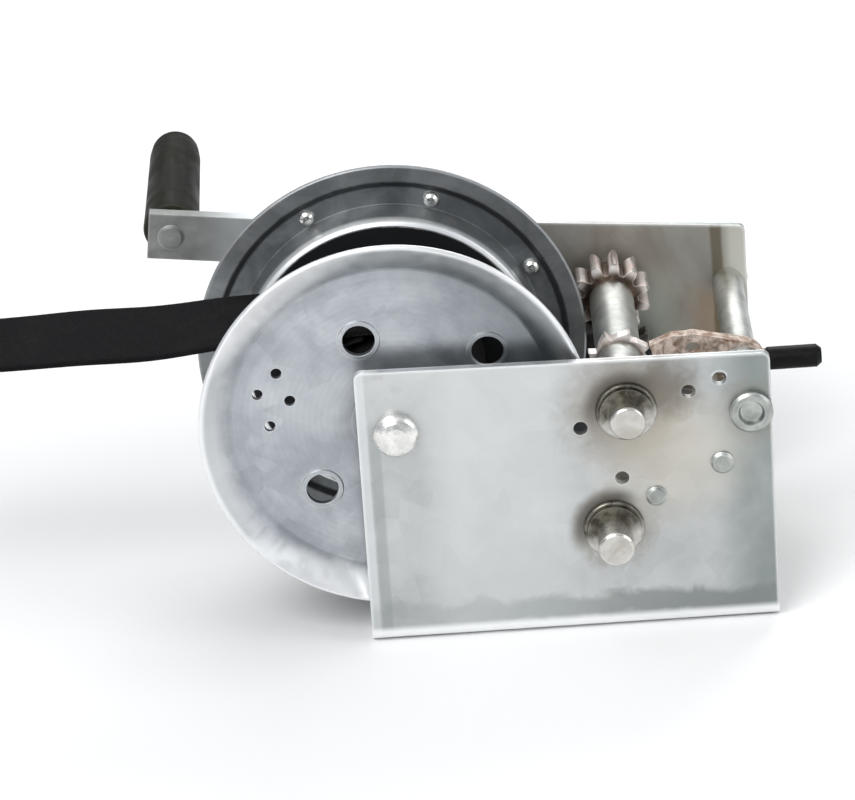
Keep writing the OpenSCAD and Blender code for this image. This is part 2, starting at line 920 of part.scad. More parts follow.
module pawl()
{
    knuckle = pawl_tip + [17, -2.6];
    color("sienna") difference()
    {
        sheet_across([0, 0], pawl_start, pawl_thick)
        {
            link(pawl_axis, pawl_eye_r, knuckle, 6.5);
            polygon([
                pawl_tip, pawl_tip + [1.4, -5.2], knuckle + [0, -6.5], knuckle + [3, 6.1], pawl_tip + [9, 3.6]
            ]);
            link(pawl_axis, lever_width / 2 + 1, lever_elbow, lever_width / 2);
            link(lever_elbow, lever_width / 2, lever_end, lever_width / 2);
        }
        rod(pawl_axis, pawl_start - 1, pawl_start + pawl_thick + 1, pawl_pin_r + running_gap);
        rod(knuckle, pawl_start - 1, pawl_start + pawl_thick + 1, 3);
    }
}

// Soft sleeve on the end of the pawl's lever
module pawl_sleeve()
{
    along = atan2(lever_end[1] - lever_elbow[1], lever_end[0] - lever_elbow[0]);
    start = lever_end - (sleeve_length - 6) * [cos(along), sin(along)];
    color("black") difference()
    {
        translate([start[0], depth(pawl_start + pawl_thick / 2), start[1]]) rotate([0, 90 - along, 0])
            rotate_extrude() polygon([
                [0, 0], [sleeve_r - 0.6, 0], [sleeve_r, 0.6], [sleeve_r, sleeve_length - 2],
                [sleeve_r - 1.6, sleeve_length], [0, sleeve_length]
            ]);
        sheet_across([0, 0], pawl_start, pawl_thick)
            link(lever_elbow, lever_width / 2, lever_end, lever_width / 2);
    }
}

// Strap end, hook and latch ---------------------------------------------------------------

// Places its children at the hook's eye, with local +X back towards the drum along the strap
module at_hook()
{
    translate([eye_place[0], depth(strap_start + strap_width / 2), eye_place[1]])
        rotate([0, -strap_fall, 0]) children();
}

// The sewn end of the strap, round the bar of the hook's eye
module strap_loop()
{
    t = strap_thick;
    bar_r = eye_bar / 2 + 2;
    inside = bar_r + 0.3;
    outside = inside + t;
    middle = (eye_outside[0] - eye_bar) / 2;
    tail = loop_room - middle;
    color("black") at_hook() translate([middle, strap_width / 2, 0]) rotate([90, 0, 0])
        linear_extrude(strap_width) difference()
        {
            union()
            {
                circle(outside);
                polygon([[0, outside], [0, -outside], [14, -t], [tail, -t], [tail, t], [14, t]]);
            }
            circle(inside);
            polygon([[0, inside], [0, -inside], [11, 0]]);
        }
}

// A rectangle with round corners, drawn about its middle
module offset_box(size, r)
{
    square([size[0] - 2 * r, size[1]], center = true);
    square([size[0], size[1] - 2 * r], center = true);
    for (sx = [-1, 1], sy = [-1, 1])
        translate([sx * (size[0] / 2 - r), sy * (size[1] / 2 - r)]) circle(r);
}

// Makes a flat outline as thick as the hook
module hook_part() { translate([0, 0, -hook_thick / 2]) linear_extrude(hook_thick) children(); }

module hook()
{
    point = hook_middle + polar((hook_outside_r + hook_throat_r) / 2, 92);
    color("silver") at_hook() difference()
    {
        union()
        {
            hook_part() offset_box(eye_outside, 6);
            hook_part() polygon([
                [-eye_outside[0] / 2 + 3, 22], [-eye_outside[0] / 2 + 3, -22], [-34, -neck_width / 2],
                [-48, -neck_width / 2 - 1], [-48, neck_width / 2 + 1], [-34, neck_width / 2 + 6]
            ]);
            difference()
            {
                hook_part() translate(hook_middle) circle(hook_outside_r);
                translate([0, 0, -hook_thick]) linear_extrude(2 * hook_thick)
                    polygon([hook_middle, [-43, 10.3], [-43, 40], hook_middle + polar(40, 92)]);
            }
            hook_part() translate(point) circle((hook_outside_r - hook_throat_r) / 2);
        }
        translate([0, 0, -hook_thick]) linear_extrude(2 * hook_thick) offset_box(eye_inside, 3);
        translate([hook_middle[0], hook_middle[1], -hook_thick])
            cylinder(h = 2 * hook_thick, r = hook_throat_r);
        translate([latch_pivot[0], latch_pivot[1], -hook_thick])
            cylinder(h = 2 * hook_thick, r = latch_rivet_r);
    }
}

// Sheet-metal gate that closes the hook's mouth, with a cheek on each face of the hook
module latch()
{
    half = hook_thick / 2 + latch_gap;
    reach = latch_end - latch_pivot;
    color("silver") at_hook() difference()
    {
        union()
        {
            for (d = [half, -half - latch_sheet]) translate([0, 0, d]) linear_extrude(latch_sheet)
                link(latch_pivot, 4.5, latch_pivot + 0.62 * reach, 3);
            translate([0, 0, -half]) linear_extrude(2 * half) polygon([
                latch_pivot + 0.25 * reach + [0.6, 1.8], latch_pivot + 0.25 * reach + [1.0, 3.3],
                latch_pivot + 0.62 * reach + [0, 3], latch_pivot + 0.62 * reach + [-0.4, 1.5]
            ]);
        }
        translate([latch_pivot[0], latch_pivot[1], -20]) cylinder(h = 40, r = latch_rivet_r + running_gap);
    }
}

module latch_rivet()
{
    half = hook_thick / 2 + latch_gap + latch_sheet + play;
    color("silver") at_hook() translate([latch_pivot[0], latch_pivot[1], 0]) rotate_extrude() polygon([
        [0, -half - 1.6], [2.4, -half - 1.6], [3.4, -half - 0.8], [3.4, -half], [latch_rivet_r, -half],
        [latch_rivet_r, half], [3.4, half], [3.4, half + 0.8], [2.4, half + 1.6], [0, half + 1.6]
    ]);
}

// Small torsion spring between the hook and one cheek of the latch
module latch_spring()
{
    r = 0.4;
    low = hook_thick / 2 + r + 0.1;
    steps = 24;
    coil = [
        for (i = [0:steps]) let (a = 40 + 500 * i / steps)
            [latch_pivot[0] + 2.9 * cos(a), latch_pivot[1] + 2.9 * sin(a), low + 1.0 * i / steps]
    ];
    ends = [coil[0] + [4, -5, 0], coil[steps] + [-7, -0.4, 0]];
    color("slategray") at_hook() wire(concat([ends[0]], coil, [ends[1]]), r, [0, 0, 1], 6);
}

frame();
shaft_bushings();
drum_axle_bolt();
axle_washer();
axle_nut();
axle_spacers();
pawl_pin();
pawl_spacers();
pawl_spring();
spring_post();
plate_rivet();
strap_run();
outer_flange();
drum_hub();
inner_flange();
drum_gear();
gear_rivets();
drum_bushings();
strap_anchor_bolt();
strap_anchor_nut();
strap_roll();
lower_shaft();
drum_pinion();
low_speed_gear();
lower_spacers();
lower_clips();
upper_shaft();
crank_pinion();
ratchet_wheel();
upper_spacers();
upper_clip();
crank_hub();
crank_arm();
crank_washer();
crank_nut();
grip_spindle();
grip();
pawl();
pawl_sleeve();
strap_loop();
hook();
latch();
latch_rivet();
latch_spring();
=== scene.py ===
"""Looks of the boat trailer winch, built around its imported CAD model."""

import math
import random

import bpy
from mathutils import Matrix, Vector


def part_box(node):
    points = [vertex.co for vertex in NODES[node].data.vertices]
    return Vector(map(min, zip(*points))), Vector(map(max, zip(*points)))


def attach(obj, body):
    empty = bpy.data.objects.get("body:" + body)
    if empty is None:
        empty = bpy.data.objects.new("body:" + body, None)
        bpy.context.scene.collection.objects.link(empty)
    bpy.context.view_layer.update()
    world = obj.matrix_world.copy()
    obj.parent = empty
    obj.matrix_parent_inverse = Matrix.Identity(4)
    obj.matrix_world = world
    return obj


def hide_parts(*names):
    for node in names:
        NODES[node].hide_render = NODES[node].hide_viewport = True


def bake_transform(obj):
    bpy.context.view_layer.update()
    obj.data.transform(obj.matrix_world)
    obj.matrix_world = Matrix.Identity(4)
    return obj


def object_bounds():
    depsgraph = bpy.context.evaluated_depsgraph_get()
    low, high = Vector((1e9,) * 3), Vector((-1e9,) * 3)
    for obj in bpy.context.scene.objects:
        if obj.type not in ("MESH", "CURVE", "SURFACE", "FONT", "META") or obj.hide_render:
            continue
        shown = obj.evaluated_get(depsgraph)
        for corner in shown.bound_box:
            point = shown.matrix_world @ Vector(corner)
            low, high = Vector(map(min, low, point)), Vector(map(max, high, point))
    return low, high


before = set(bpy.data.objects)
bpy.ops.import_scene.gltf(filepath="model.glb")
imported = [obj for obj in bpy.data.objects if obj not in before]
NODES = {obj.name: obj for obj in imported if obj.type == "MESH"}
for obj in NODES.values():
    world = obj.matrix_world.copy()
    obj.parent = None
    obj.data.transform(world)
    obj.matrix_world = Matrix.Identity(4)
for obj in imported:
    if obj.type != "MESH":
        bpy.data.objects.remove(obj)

CAD_LOW, CAD_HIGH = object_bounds()
MM = 0.001


# Places, all taken from the CAD model ---------------------------------------------------------


def middle(node):
    low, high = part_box(node)
    return (low + high) / 2


DRUM = middle("outer_flange")
LOWER = middle("lower_spacers")
UPPER = middle("upper_spacers")
PAWL = middle("pawl_spacers")
PLATE_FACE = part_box("frame")[0].y
ROLL_LOW, ROLL_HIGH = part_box("strap_roll")
FALL = math.radians(2)
STRAP_THICK = 2.4 * MM
STRAP_FREE = 206 * MM
STRAP_SEWN = 34 * MM
STRAP_MIDDLE = (ROLL_LOW.y + ROLL_HIGH.y) / 2
STRAP_WIDTH = ROLL_HIGH.y - ROLL_LOW.y
WRAP_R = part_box("strap_run")[1].x - DRUM.x - STRAP_THICK / 2
PULL = Vector((-math.cos(FALL), 0, -math.sin(FALL)))
PULL_UP = Vector((-math.sin(FALL), 0, math.cos(FALL)))
RUN_START = Vector((DRUM.x, STRAP_MIDDLE, DRUM.z)) + WRAP_R * PULL_UP
EYE = RUN_START + STRAP_FREE * PULL


def at_hook(x, y, z):
    """A point in the hook's own frame, in mm. Its X runs back along the strap, and its Z is up."""
    return EYE - x * MM * PULL + Vector((0, y * MM, 0)) + z * MM * PULL_UP


# Shader building ------------------------------------------------------------------------------


class Shade:
    """One procedural material round a Principled shader."""

    def __init__(self, name, colour, metallic=0.0, roughness=0.5, **fixed):
        self.material = bpy.data.materials.new(name)
        self.material.use_nodes = True
        self.tree = self.material.node_tree
        self.shader = self.tree.nodes["Principled BSDF"]
        self.set("Base Color", colour)
        self.set("Metallic", metallic)
        self.set("Roughness", roughness)
        for socket, value in fixed.items():
            self.set(socket.replace("_", " "), value)
        self.place = self.node("ShaderNodeTexCoord").outputs["Object"]
        split = self.node("ShaderNodeSeparateXYZ")
        self.put(split.inputs[0], self.place)
        self.x, self.y, self.z = split.outputs

    def node(self, kind, **settings):
        made = self.tree.nodes.new(kind)
        for name, value in settings.items():
            setattr(made, name, value)
        return made

    def put(self, socket, value):
        if isinstance(value, bpy.types.NodeSocket):
            self.tree.links.new(value, socket)
        elif socket.type == "RGBA" and not hasattr(value, "__len__"):
            socket.default_value = (value, value, value, 1)
        elif socket.type == "RGBA":
            socket.default_value = (*value[:3], 1)
        else:
            socket.default_value = value

    def set(self, name, value):
        self.put(self.shader.inputs[name], value)

    def math(self, operation, a, b=0.0, c=0.0):
        made = self.node("ShaderNodeMath", operation=operation)
        for socket, value in zip(made.inputs, (a, b, c)):
            self.put(socket, value)
        return made.outputs[0]

    def stretched(self, x, y, z, shift=(0, 0, 0), at=None):
        made = self.node("ShaderNodeMapping")
        self.put(made.inputs["Vector"], at or self.place)
        made.inputs["Scale"].default_value = (x, y, z)
        made.inputs["Location"].default_value = shift
        return made.outputs[0]

    def noise(self, scale, detail=4.0, roughness=0.55, distortion=0.0, at=None):
        made = self.node("ShaderNodeTexNoise")
        self.put(made.inputs["Vector"], at or self.place)
        made.inputs["Scale"].default_value = scale
        made.inputs["Detail"].default_value = detail
        made.inputs["Roughness"].default_value = roughness
        made.inputs["Distortion"].default_value = distortion
        return made.outputs["Fac"]

    def cells(self, scale, output="Distance", at=None, feature="F1"):
        made = self.node("ShaderNodeTexVoronoi", feature=feature)
        self.put(made.inputs["Vector"], at or self.place)
        made.inputs["Scale"].default_value = scale
        return made.outputs[output]

    def fit(self, value, low, high, to_low=0.0, to_high=1.0):
        made = self.node("ShaderNodeMapRange", interpolation_type="SMOOTHSTEP")
        for socket, given in zip(made.inputs, (value, low, high, to_low, to_high)):
            self.put(socket, given)
        return made.outputs[0]

    def band(self, value, low, high, soft):
        """1 between low and high, with soft edges."""
        rising = self.fit(value, low - soft, low)
        return self.math("MULTIPLY", rising, self.fit(value, high, high + soft, 1, 0))

    def mix(self, factor, a, b, blend="MIX"):
        made = self.node("ShaderNodeMix", data_type="RGBA", blend_type=blend)
        self.put(made.inputs[0], factor)
        self.put(made.inputs[6], a)
        self.put(made.inputs[7], b)
        return made.outputs[2]

    def tone(self, colour):
        """One channel of a colour."""
        made = self.node("ShaderNodeSeparateColor")
        self.put(made.inputs[0], colour)
        return made.outputs[0]

    def above(self, point, lean):
        """Height above an axis across the winch, along a direction that leans towards the boat."""
        dx = self.math("MULTIPLY", self.math("SUBTRACT", self.x, point.x), -math.sin(lean))
        dz = self.math("SUBTRACT", self.z, point.z)
        return self.math("MULTIPLY_ADD", dz, math.cos(lean), dx)

    def below(self, point):
        """1 on the lower part of a ring round an axis across the winch, 0 above and elsewhere."""
        near = self.fit(self.from_axis(point), 0.0220, 0.0180)
        return self.math("MULTIPLY", near, self.fit(self.above(point, 0.25), 0.002, -0.004))

    def from_axis(self, point):
        """Distance from an axis across the winch."""
        dx = self.math("SUBTRACT", self.x, point.x)
        dz = self.math("SUBTRACT", self.z, point.z)
        squares = self.math("MULTIPLY_ADD", dx, dx, self.math("MULTIPLY", dz, dz))
        return self.math("SQRT", squares)

    def edges(self, radius=0.0012):
        """1 at sharp outer and inner edges, 0 on flat faces."""
        round_edge = self.node("ShaderNodeBevel", samples=4)
        round_edge.inputs["Radius"].default_value = radius
        dot = self.node("ShaderNodeVectorMath", operation="DOT_PRODUCT")
        self.put(dot.inputs[0], round_edge.outputs[0])
        self.put(dot.inputs[1], self.node("ShaderNodeNewGeometry").outputs["Normal"])
        return self.fit(dot.outputs["Value"], 0.995, 0.86)

    def bump(self, height, depth, strength=1.0):
        made = self.node("ShaderNodeBump")
        made.inputs["Strength"].default_value = strength
        made.inputs["Distance"].default_value = depth
        self.put(made.inputs["Height"], height)
        old = self.shader.inputs["Normal"]
        if old.links:
            self.put(made.inputs["Normal"], old.links[0].from_socket)
        self.put(old, made.outputs[0])
        return self


def zinc(name, light, dark, roughness=0.36, spread=0.16, cell=95, mottle=38, metallic=1.0, edge_wear_and_highlight=0.55):
    """Plated steel: cloudy patches, faint crystal cells, handling scratches and brighter edges, partly wear
    and partly painted highlight.
    """
    s = Shade(name, light, metallic=metallic)
    cloud = s.fit(s.noise(mottle, 5, 0.6, 0.4), 0.34, 0.68)
    colour = s.mix(cloud, dark, light)
    colour = s.mix(0.07, colour, s.tone(s.cells(cell, "Color")), "OVERLAY")
    scratch = s.noise(420, 3, 0.7, 1.5, s.stretched(0.22, 1.0, 1.6))
    scratch = s.fit(scratch, 0.60, 0.72)
    colour = s.mix(s.math("MULTIPLY", scratch, 0.25), colour, light)
    # Brighter edges: partly wear, partly painted highlight.
    s.colour = s.mix(s.math("MULTIPLY", s.edges(), edge_wear_and_highlight), colour, (0.84, 0.85, 0.84))
    wear_and_highlight = s.noise(mottle * 3.1, 4, 0.62, 0.2)
    s.roughness = s.fit(wear_and_highlight, 0.25, 0.75, roughness - spread / 2, roughness + spread / 2)
    s.set("Base Color", s.colour)
    s.set("Roughness", s.roughness)
    s.bump(s.noise(mottle * 5, 4, 0.6), 0.00006, 0.5)
    s.bump(s.noise(900, 2, 0.5), 0.00002, 0.4)
    return s


# Materials ------------------------------------------------------------------------------------


def frame_zinc():
    """Light plate with upright bands, greasy marks round the shafts, a stained far wall, painted shade on the
    channel floor and painted highlights on its outer edges.
    """
    s = zinc("frame_zinc", (0.57, 0.58, 0.575), (0.46, 0.475, 0.475), 0.42, 0.14, 95, 30, 0.85)
    colour = near_plate(s, s.colour)
    wall = s.math("MULTIPLY", s.band(s.y, -0.02, 0.0612, 0.0004), s.fit(s.z, 0.004, 0.03))
    colour = far_wall(s, colour, wall)
    # Painted shade: the floor of the channel between the plates is darkened.
    base = s.math("MULTIPLY", s.band(s.y, -0.058, 0.058, 0.002), s.fit(s.z, 0.012, 0.003))
    colour = s.mix(s.math("MULTIPLY", base, 0.45), colour, (0.20, 0.185, 0.16))
    # Painted highlight on the plate's outer edges, faint on the edges within the plate.
    inside = s.math("MULTIPLY", s.band(s.x, -0.079, 0.073, 0.002), s.band(s.z, 0.012, 0.106, 0.002))
    edge = s.math("MULTIPLY", s.edges(0.0022), s.fit(inside, 0, 1, 0.85, 0.10))
    colour = s.mix(edge, colour, (0.90, 0.91, 0.91))
    s.set("Base Color", colour)
    s.set("Roughness", s.fit(wall, 0.0, 1.0, s.roughness, 0.60))
    s.bump(s.noise(14, 2, 0.5), 0.0006, 0.25)
    return s.material


def near_plate(s, colour):
    """Painted reflection bands, a painted darker reflection on the rear part, a painted highlight and shade
    line on the front edge, a darker line above the bend, old greasy stains, dark arcs above the shafts and a
    painted highlight on the bend.
    """
    # Painted reflections: soft upright bands and one broad bright upright band.
    bands = s.fit(s.noise(24, 3, 0.5, 0.3, s.stretched(1.0, 0.3, 0.14, (0.3, 0, 0))), 0.34, 0.66)
    colour = s.mix(s.math("MULTIPLY", bands, 0.35), colour, (0.40, 0.43, 0.435))
    bright = s.math("MULTIPLY", s.band(s.x, -0.042, -0.012, 0.026), 0.60)
    colour = s.mix(bright, colour, (0.66, 0.68, 0.68))
    # Painted highlight along the front edge, with a painted shade line just behind it.
    front_edge_highlight = s.math("MULTIPLY", s.fit(s.x, -0.0792, -0.0802), s.fit(s.y, -0.052, -0.056))
    colour = s.mix(s.math("MULTIPLY", front_edge_highlight, 0.65), colour, (0.70, 0.72, 0.73))
    shade = s.math("MULTIPLY", s.band(s.x, -0.0785, -0.0755, 0.0012), s.fit(s.z, 0.100, 0.090))
    colour = s.mix(s.math("MULTIPLY", shade, 0.40), colour, (0.27, 0.29, 0.30))
    # Painted darker reflection over the rear part of the plate.
    patchy = s.noise(30, 3, 0.5, 0.2)
    rear = s.math("MULTIPLY", s.fit(s.x, 0.050, 0.072), s.fit(patchy, 0.22, 0.60, 0.35, 1.0))
    colour = s.mix(s.math("MULTIPLY", rear, 0.80), colour, (0.200, 0.235, 0.225))
    # A darker line along the plate above the bend.
    wavy_height = s.math("MULTIPLY_ADD", s.noise(75, 3, 0.55, 0.6), 0.014, s.z)
    low = s.math("MULTIPLY", s.band(wavy_height, 0.0150, 0.0200, 0.005), s.fit(s.x, -0.062, 0.060, 0.25, 0.85))
    colour = s.mix(low, colour, (0.22, 0.24, 0.235))
    ragged = s.noise(130, 4, 0.6, 1.0)
    for place, reach, amount in ((LOWER, 0.019, 0.60), (UPPER, 0.033, 0.80), (PAWL, 0.014, 0.30)):
        away = s.math("MULTIPLY_ADD", ragged, 0.016, s.from_axis(place))
        warm = s.fit(away, reach + 0.009, 0.018)
        colour = s.mix(s.math("MULTIPLY", warm, amount), colour, (0.285, 0.255, 0.215))
    between = Vector((UPPER.x + 0.018, 0, (UPPER.z + LOWER.z) / 2 + 0.004))
    stain = s.fit(s.math("MULTIPLY_ADD", ragged, 0.014, s.from_axis(between)), 0.044, 0.016)
    colour = s.mix(s.math("MULTIPLY", stain, 0.55), colour, (0.56, 0.52, 0.44))
    beside = Vector((UPPER.x + 0.015, 0, UPPER.z + 0.009))
    warm = s.fit(s.math("MULTIPLY_ADD", ragged, 0.010, s.from_axis(beside)), 0.024, 0.009)
    colour = s.mix(s.math("MULTIPLY", warm, 0.72), colour, (0.150, 0.130, 0.105))
    # Dark arcs above the lower and upper shafts.
    for place, lean in ((LOWER, 0.75), (UPPER, 0.55)):
        away = s.from_axis(place)
        over = s.fit(s.math("MULTIPLY_ADD", ragged, 0.006, s.above(place, lean)), 0.000, 0.0125)
        dark_arc = s.math("MULTIPLY", over, s.fit(away, 0.0190, 0.0130))
        colour = s.mix(s.math("MULTIPLY", dark_arc, 0.88), colour, (0.125, 0.115, 0.098))
    # Painted highlight along the bottom bend.
    bend = s.fit(s.z, 0.0080, 0.0045)
    return s.mix(s.math("MULTIPLY", bend, 0.90), colour, (0.92, 0.93, 0.93))


def far_wall(s, colour, wall):
    """Grey-beige grime inside the far plate, a pale rear band as a painted highlight and a rusty patch by the
    pawl.
    """
    cloud = s.noise(45, 5, 0.6, 0.8, s.stretched(1, 1, 0.5))
    grime = s.fit(cloud, 0.25, 0.70, 0.55, 0.90)
    colour = s.mix(s.math("MULTIPLY", wall, grime), colour, (0.39, 0.365, 0.32))
    shade = s.math("MULTIPLY", wall, s.math("MULTIPLY", s.fit(cloud, 0.42, 0.66), s.fit(s.x, 0.066, 0.040)))
    colour = s.mix(s.math("MULTIPLY", shade, 0.40), colour, (0.19, 0.175, 0.145))
    greenish = s.math("MULTIPLY", s.band(s.x, 0.022, 0.038, 0.014), s.band(s.z, 0.030, 0.080, 0.026))
    colour = s.mix(s.math("MULTIPLY", s.math("MULTIPLY", greenish, wall), 0.70), colour, (0.70, 0.76, 0.68))
    # Painted highlight: a pale band along the rear of the far wall.
    pale_strip_highlight = s.math("MULTIPLY", wall, s.fit(s.x, 0.0675, 0.0725))
    colour = s.mix(s.math("MULTIPLY", pale_strip_highlight, 0.80), colour, (0.64, 0.64, 0.57))
    off = s.math("ABSOLUTE", s.math("SUBTRACT", s.x, 0.061))
    patch = s.math("MULTIPLY_ADD", s.noise(150, 4, 0.7), 0.012, off)
    upright = s.band(s.z, 0.056, 0.082, 0.014)
    rust = s.math("MULTIPLY", s.fit(patch, 0.017, 0.007), s.math("MULTIPLY", wall, upright))
    colour = s.mix(s.math("MULTIPLY", rust, 0.65), colour, (0.36, 0.26, 0.17))
    line = s.math("MULTIPLY", s.band(s.math("MULTIPLY_ADD", cloud, 0.004, s.x), 0.0665, 0.0695, 0.0016), wall)
    return s.mix(s.math("MULTIPLY", line, 0.70), colour, (0.135, 0.105, 0.055))


def flange_zinc():
    """Pressed flange: cool grey, faintly mottled, with turned rings, painted shade on the dish ring and the
    upper right, and painted highlights on the sloping rim, two lip arcs and the rim's edge.
    """
    s = zinc("flange_zinc", (0.49, 0.515, 0.54), (0.37, 0.395, 0.425), 0.38, 0.14, 110, 48, 0.9)
    away = s.from_axis(DRUM)
    rings = s.noise(10, 2, 0.5, 0, s.stretched(0.02, 0.02, 0.02))
    turned = s.math("SINE", s.math("MULTIPLY_ADD", rings, 4.0, s.math("MULTIPLY", away, 2600)))
    colour = s.mix(s.fit(turned, -1, 1, 0, 0.06), s.colour, (0.22, 0.24, 0.26))
    ragged = s.math("MULTIPLY_ADD", s.noise(90, 4, 0.6, 0.8), 0.010, away)
    # Painted shade on the ring where the dish bends.
    dish = s.band(ragged, 0.0655, 0.0690, 0.0035)
    colour = s.mix(s.math("MULTIPLY", dish, 0.22), colour, (0.20, 0.22, 0.24))
    # Painted shade over the upper right of the flange.
    rear = s.fit(s.math("MULTIPLY_ADD", ragged, 0.1, s.above(DRUM, -1.1)), 0.022, 0.074)
    colour = s.mix(s.math("MULTIPLY", rear, 0.68), colour, (0.15, 0.17, 0.18))
    oily = s.fit(ragged, 0.034, 0.018)
    colour = s.mix(s.math("MULTIPLY", oily, 0.35), colour, (0.17, 0.17, 0.17))
    # Painted highlight on the sloping rim, strongest at the lower left.
    slope = s.fit(away, 0.0660, 0.0720)
    low = s.fit(s.above(DRUM, 2.2), -0.030, 0.055, 0.60, 0.75)
    colour = s.mix(s.math("MULTIPLY", slope, low), colour, (0.64, 0.65, 0.66))
    # Painted highlights: two bright arcs on the lip, at the upper left and the lower left.
    upper_arc = s.fit(s.above(DRUM, 0.66), 0.061, 0.0695)
    lower_arc = s.fit(s.above(DRUM, 2.74), 0.061, 0.0695)
    painted_lip_highlights = s.math("MAXIMUM", upper_arc, lower_arc)
    lip = s.math("MULTIPLY", s.fit(ragged, 0.0665, 0.0725), painted_lip_highlights)
    colour = s.mix(s.math("MULTIPLY", lip, 0.80), colour, (0.92, 0.925, 0.93))
    # Painted highlight round the rim's edge.
    rim = s.fit(away, 0.0740, 0.0755)
    colour = s.mix(s.math("MULTIPLY", rim, 0.85), colour, (0.88, 0.89, 0.90))
    s.set("Base Color", colour)
    return s.material


def inner_flange_zinc():
    """Dark face and lip as painted shade, a painted highlight on the bend, a dark step, and a paler rim with
    a lighter outer edge.
    """
    s = zinc("inner_flange_zinc", (0.66, 0.68, 0.70), (0.50, 0.52, 0.545), 0.30, 0.14, 100, 60, 0.9, 0.30)
    away = s.from_axis(DRUM)
    ragged = s.math("MULTIPLY_ADD", s.noise(160, 4, 0.6), 0.0010, away)
    cloud = s.fit(s.noise(52, 5, 0.6, 0.6), 0.32, 0.70)
    # Painted shade: the lip and the dish wall are dark grey.
    lip = s.mix(cloud, (0.140, 0.150, 0.155), (0.265, 0.280, 0.290))
    wall = s.fit(ragged, 0.0624, 0.0616)
    colour = s.mix(wall, lip, s.mix(cloud, (0.20, 0.21, 0.215), (0.36, 0.37, 0.38)))
    # Painted shade: the face inside the dish is nearly black.
    face = s.fit(ragged, 0.0588, 0.0576)
    colour = s.mix(face, colour, (0.030, 0.031, 0.033))
    # Painted highlight on the near side of the bend.
    bend = s.math("MULTIPLY", s.band(ragged, 0.0584, 0.0606, 0.0007), s.fit(s.y, 0.0110, 0.0085))
    colour = s.mix(bend, colour, s.mix(cloud, (0.78, 0.80, 0.81), (0.95, 0.96, 0.96)))
    rim = s.fit(ragged, 0.0710, 0.0728)
    colour = s.mix(rim, colour, s.mix(cloud, (0.200, 0.210, 0.215), (0.320, 0.332, 0.338)))
    step = s.band(ragged, 0.0698, 0.0716, 0.0010)
    colour = s.mix(s.math("MULTIPLY", step, 0.80), colour, (0.030, 0.033, 0.036))
    # Lighter outer edge: partly wear, partly painted highlight.
    wear_and_highlight = s.math("MULTIPLY", s.fit(away, 0.0772, 0.0782), 0.45)
    colour = s.mix(wear_and_highlight, colour, (0.42, 0.43, 0.44))
    s.set("Base Color", colour)
    s.set("Roughness", s.fit(bend, 0, 1, 0.50, 0.42))
    return s.material


def gear_black():
    """Dark, oiled gear blank, with paler teeth."""
    s = Shade("gear_black", (0.05, 0.055, 0.058), metallic=1.0)
    away = s.from_axis(DRUM)
    cloud = s.fit(s.noise(48, 5, 0.62, 0.6), 0.32, 0.70)
    colour = s.mix(cloud, (0.078, 0.086, 0.090), (0.150, 0.160, 0.165))
    green = s.fit(s.x, -0.02, 0.01)
    colour = s.mix(s.math("MULTIPLY", green, 0.35), colour, (0.095, 0.125, 0.112))
    teeth = s.fit(away, 0.0700, 0.0722)
    colour = s.mix(teeth, colour, s.mix(cloud, (0.22, 0.23, 0.235), (0.34, 0.35, 0.355)))
    line = s.band(away, 0.0690, 0.0698, 0.0006)
    colour = s.mix(s.math("MULTIPLY", line, 0.35), colour, (0.24, 0.25, 0.26))
    # Painted highlight on the edges.
    colour = s.mix(s.math("MULTIPLY", s.edges(0.0010), 0.55), colour, (0.42, 0.43, 0.44))
    s.set("Base Color", colour)
    s.set("Roughness", s.fit(s.noise(130, 4, 0.6), 0.3, 0.7, 0.34, 0.56))
    s.bump(s.noise(260, 4, 0.6), 0.00008, 0.5)
    return s.material


def small_gear_black():
    """The lower gear: dark blank, teeth with grease in their roots."""
    s = Shade("small_gear_black", (0.06, 0.062, 0.065), metallic=1.0)
    away = s.from_axis(LOWER)
    cloud = s.fit(s.noise(70, 5, 0.6, 0.5), 0.3, 0.7)
    colour = s.mix(cloud, (0.050, 0.053, 0.055), (0.12, 0.125, 0.13))
    teeth = s.fit(away, 0.0335, 0.0350)
    colour = s.mix(teeth, colour, s.mix(cloud, (0.16, 0.15, 0.14), (0.30, 0.29, 0.28)))
    # Lighter edges: partly wear, partly painted highlight.
    colour = s.mix(s.math("MULTIPLY", s.edges(0.0009), 0.6), colour, (0.45, 0.45, 0.45))
    s.set("Base Color", colour)
    s.set("Roughness", s.fit(s.noise(150, 4, 0.6), 0.3, 0.7, 0.32, 0.55))
    s.bump(s.noise(300, 4, 0.6), 0.00008, 0.5)
    return s.material


def pinion_steel(name="pinion_steel", axis=None, root=0.0125):
    """Greased teeth with a pinkish bloom of rust on their crowns."""
    s = Shade(name, (0.5, 0.4, 0.36), metallic=1.0)
    away = s.from_axis(axis or UPPER)
    cloud = s.fit(s.noise(170, 5, 0.65, 0.8), 0.34, 0.66)
    crown = s.mix(cloud, (0.84, 0.71, 0.66), (0.98, 0.95, 0.92))
    deep = s.mix(cloud, (0.09, 0.065, 0.050), (0.24, 0.17, 0.13))
    pale = s.fit(away, root - 0.002, root + 0.0022)
    colour = s.mix(pale, deep, crown)
    tips = s.fit(s.math("MULTIPLY_ADD", cloud, 0.0006, away), root + 0.0029, root + 0.0038)
    colour = s.mix(s.math("MULTIPLY", tips, 0.75), colour, (0.115, 0.085, 0.065))
    s.set("Metallic", s.fit(pale, 0, 1, 1.0, 0.55))
    # Near-white edges: partly wear, partly painted highlight.
    colour = s.mix(s.math("MULTIPLY", s.edges(0.0008), 0.6), colour, (0.95, 0.91, 0.88))
    s.set("Base Color", colour)
    s.set("Roughness", s.fit(s.noise(240, 3, 0.6), 0.3, 0.7, 0.28, 0.52))
    s.bump(s.noise(420, 4, 0.6), 0.00008, 0.5)
    return s.material


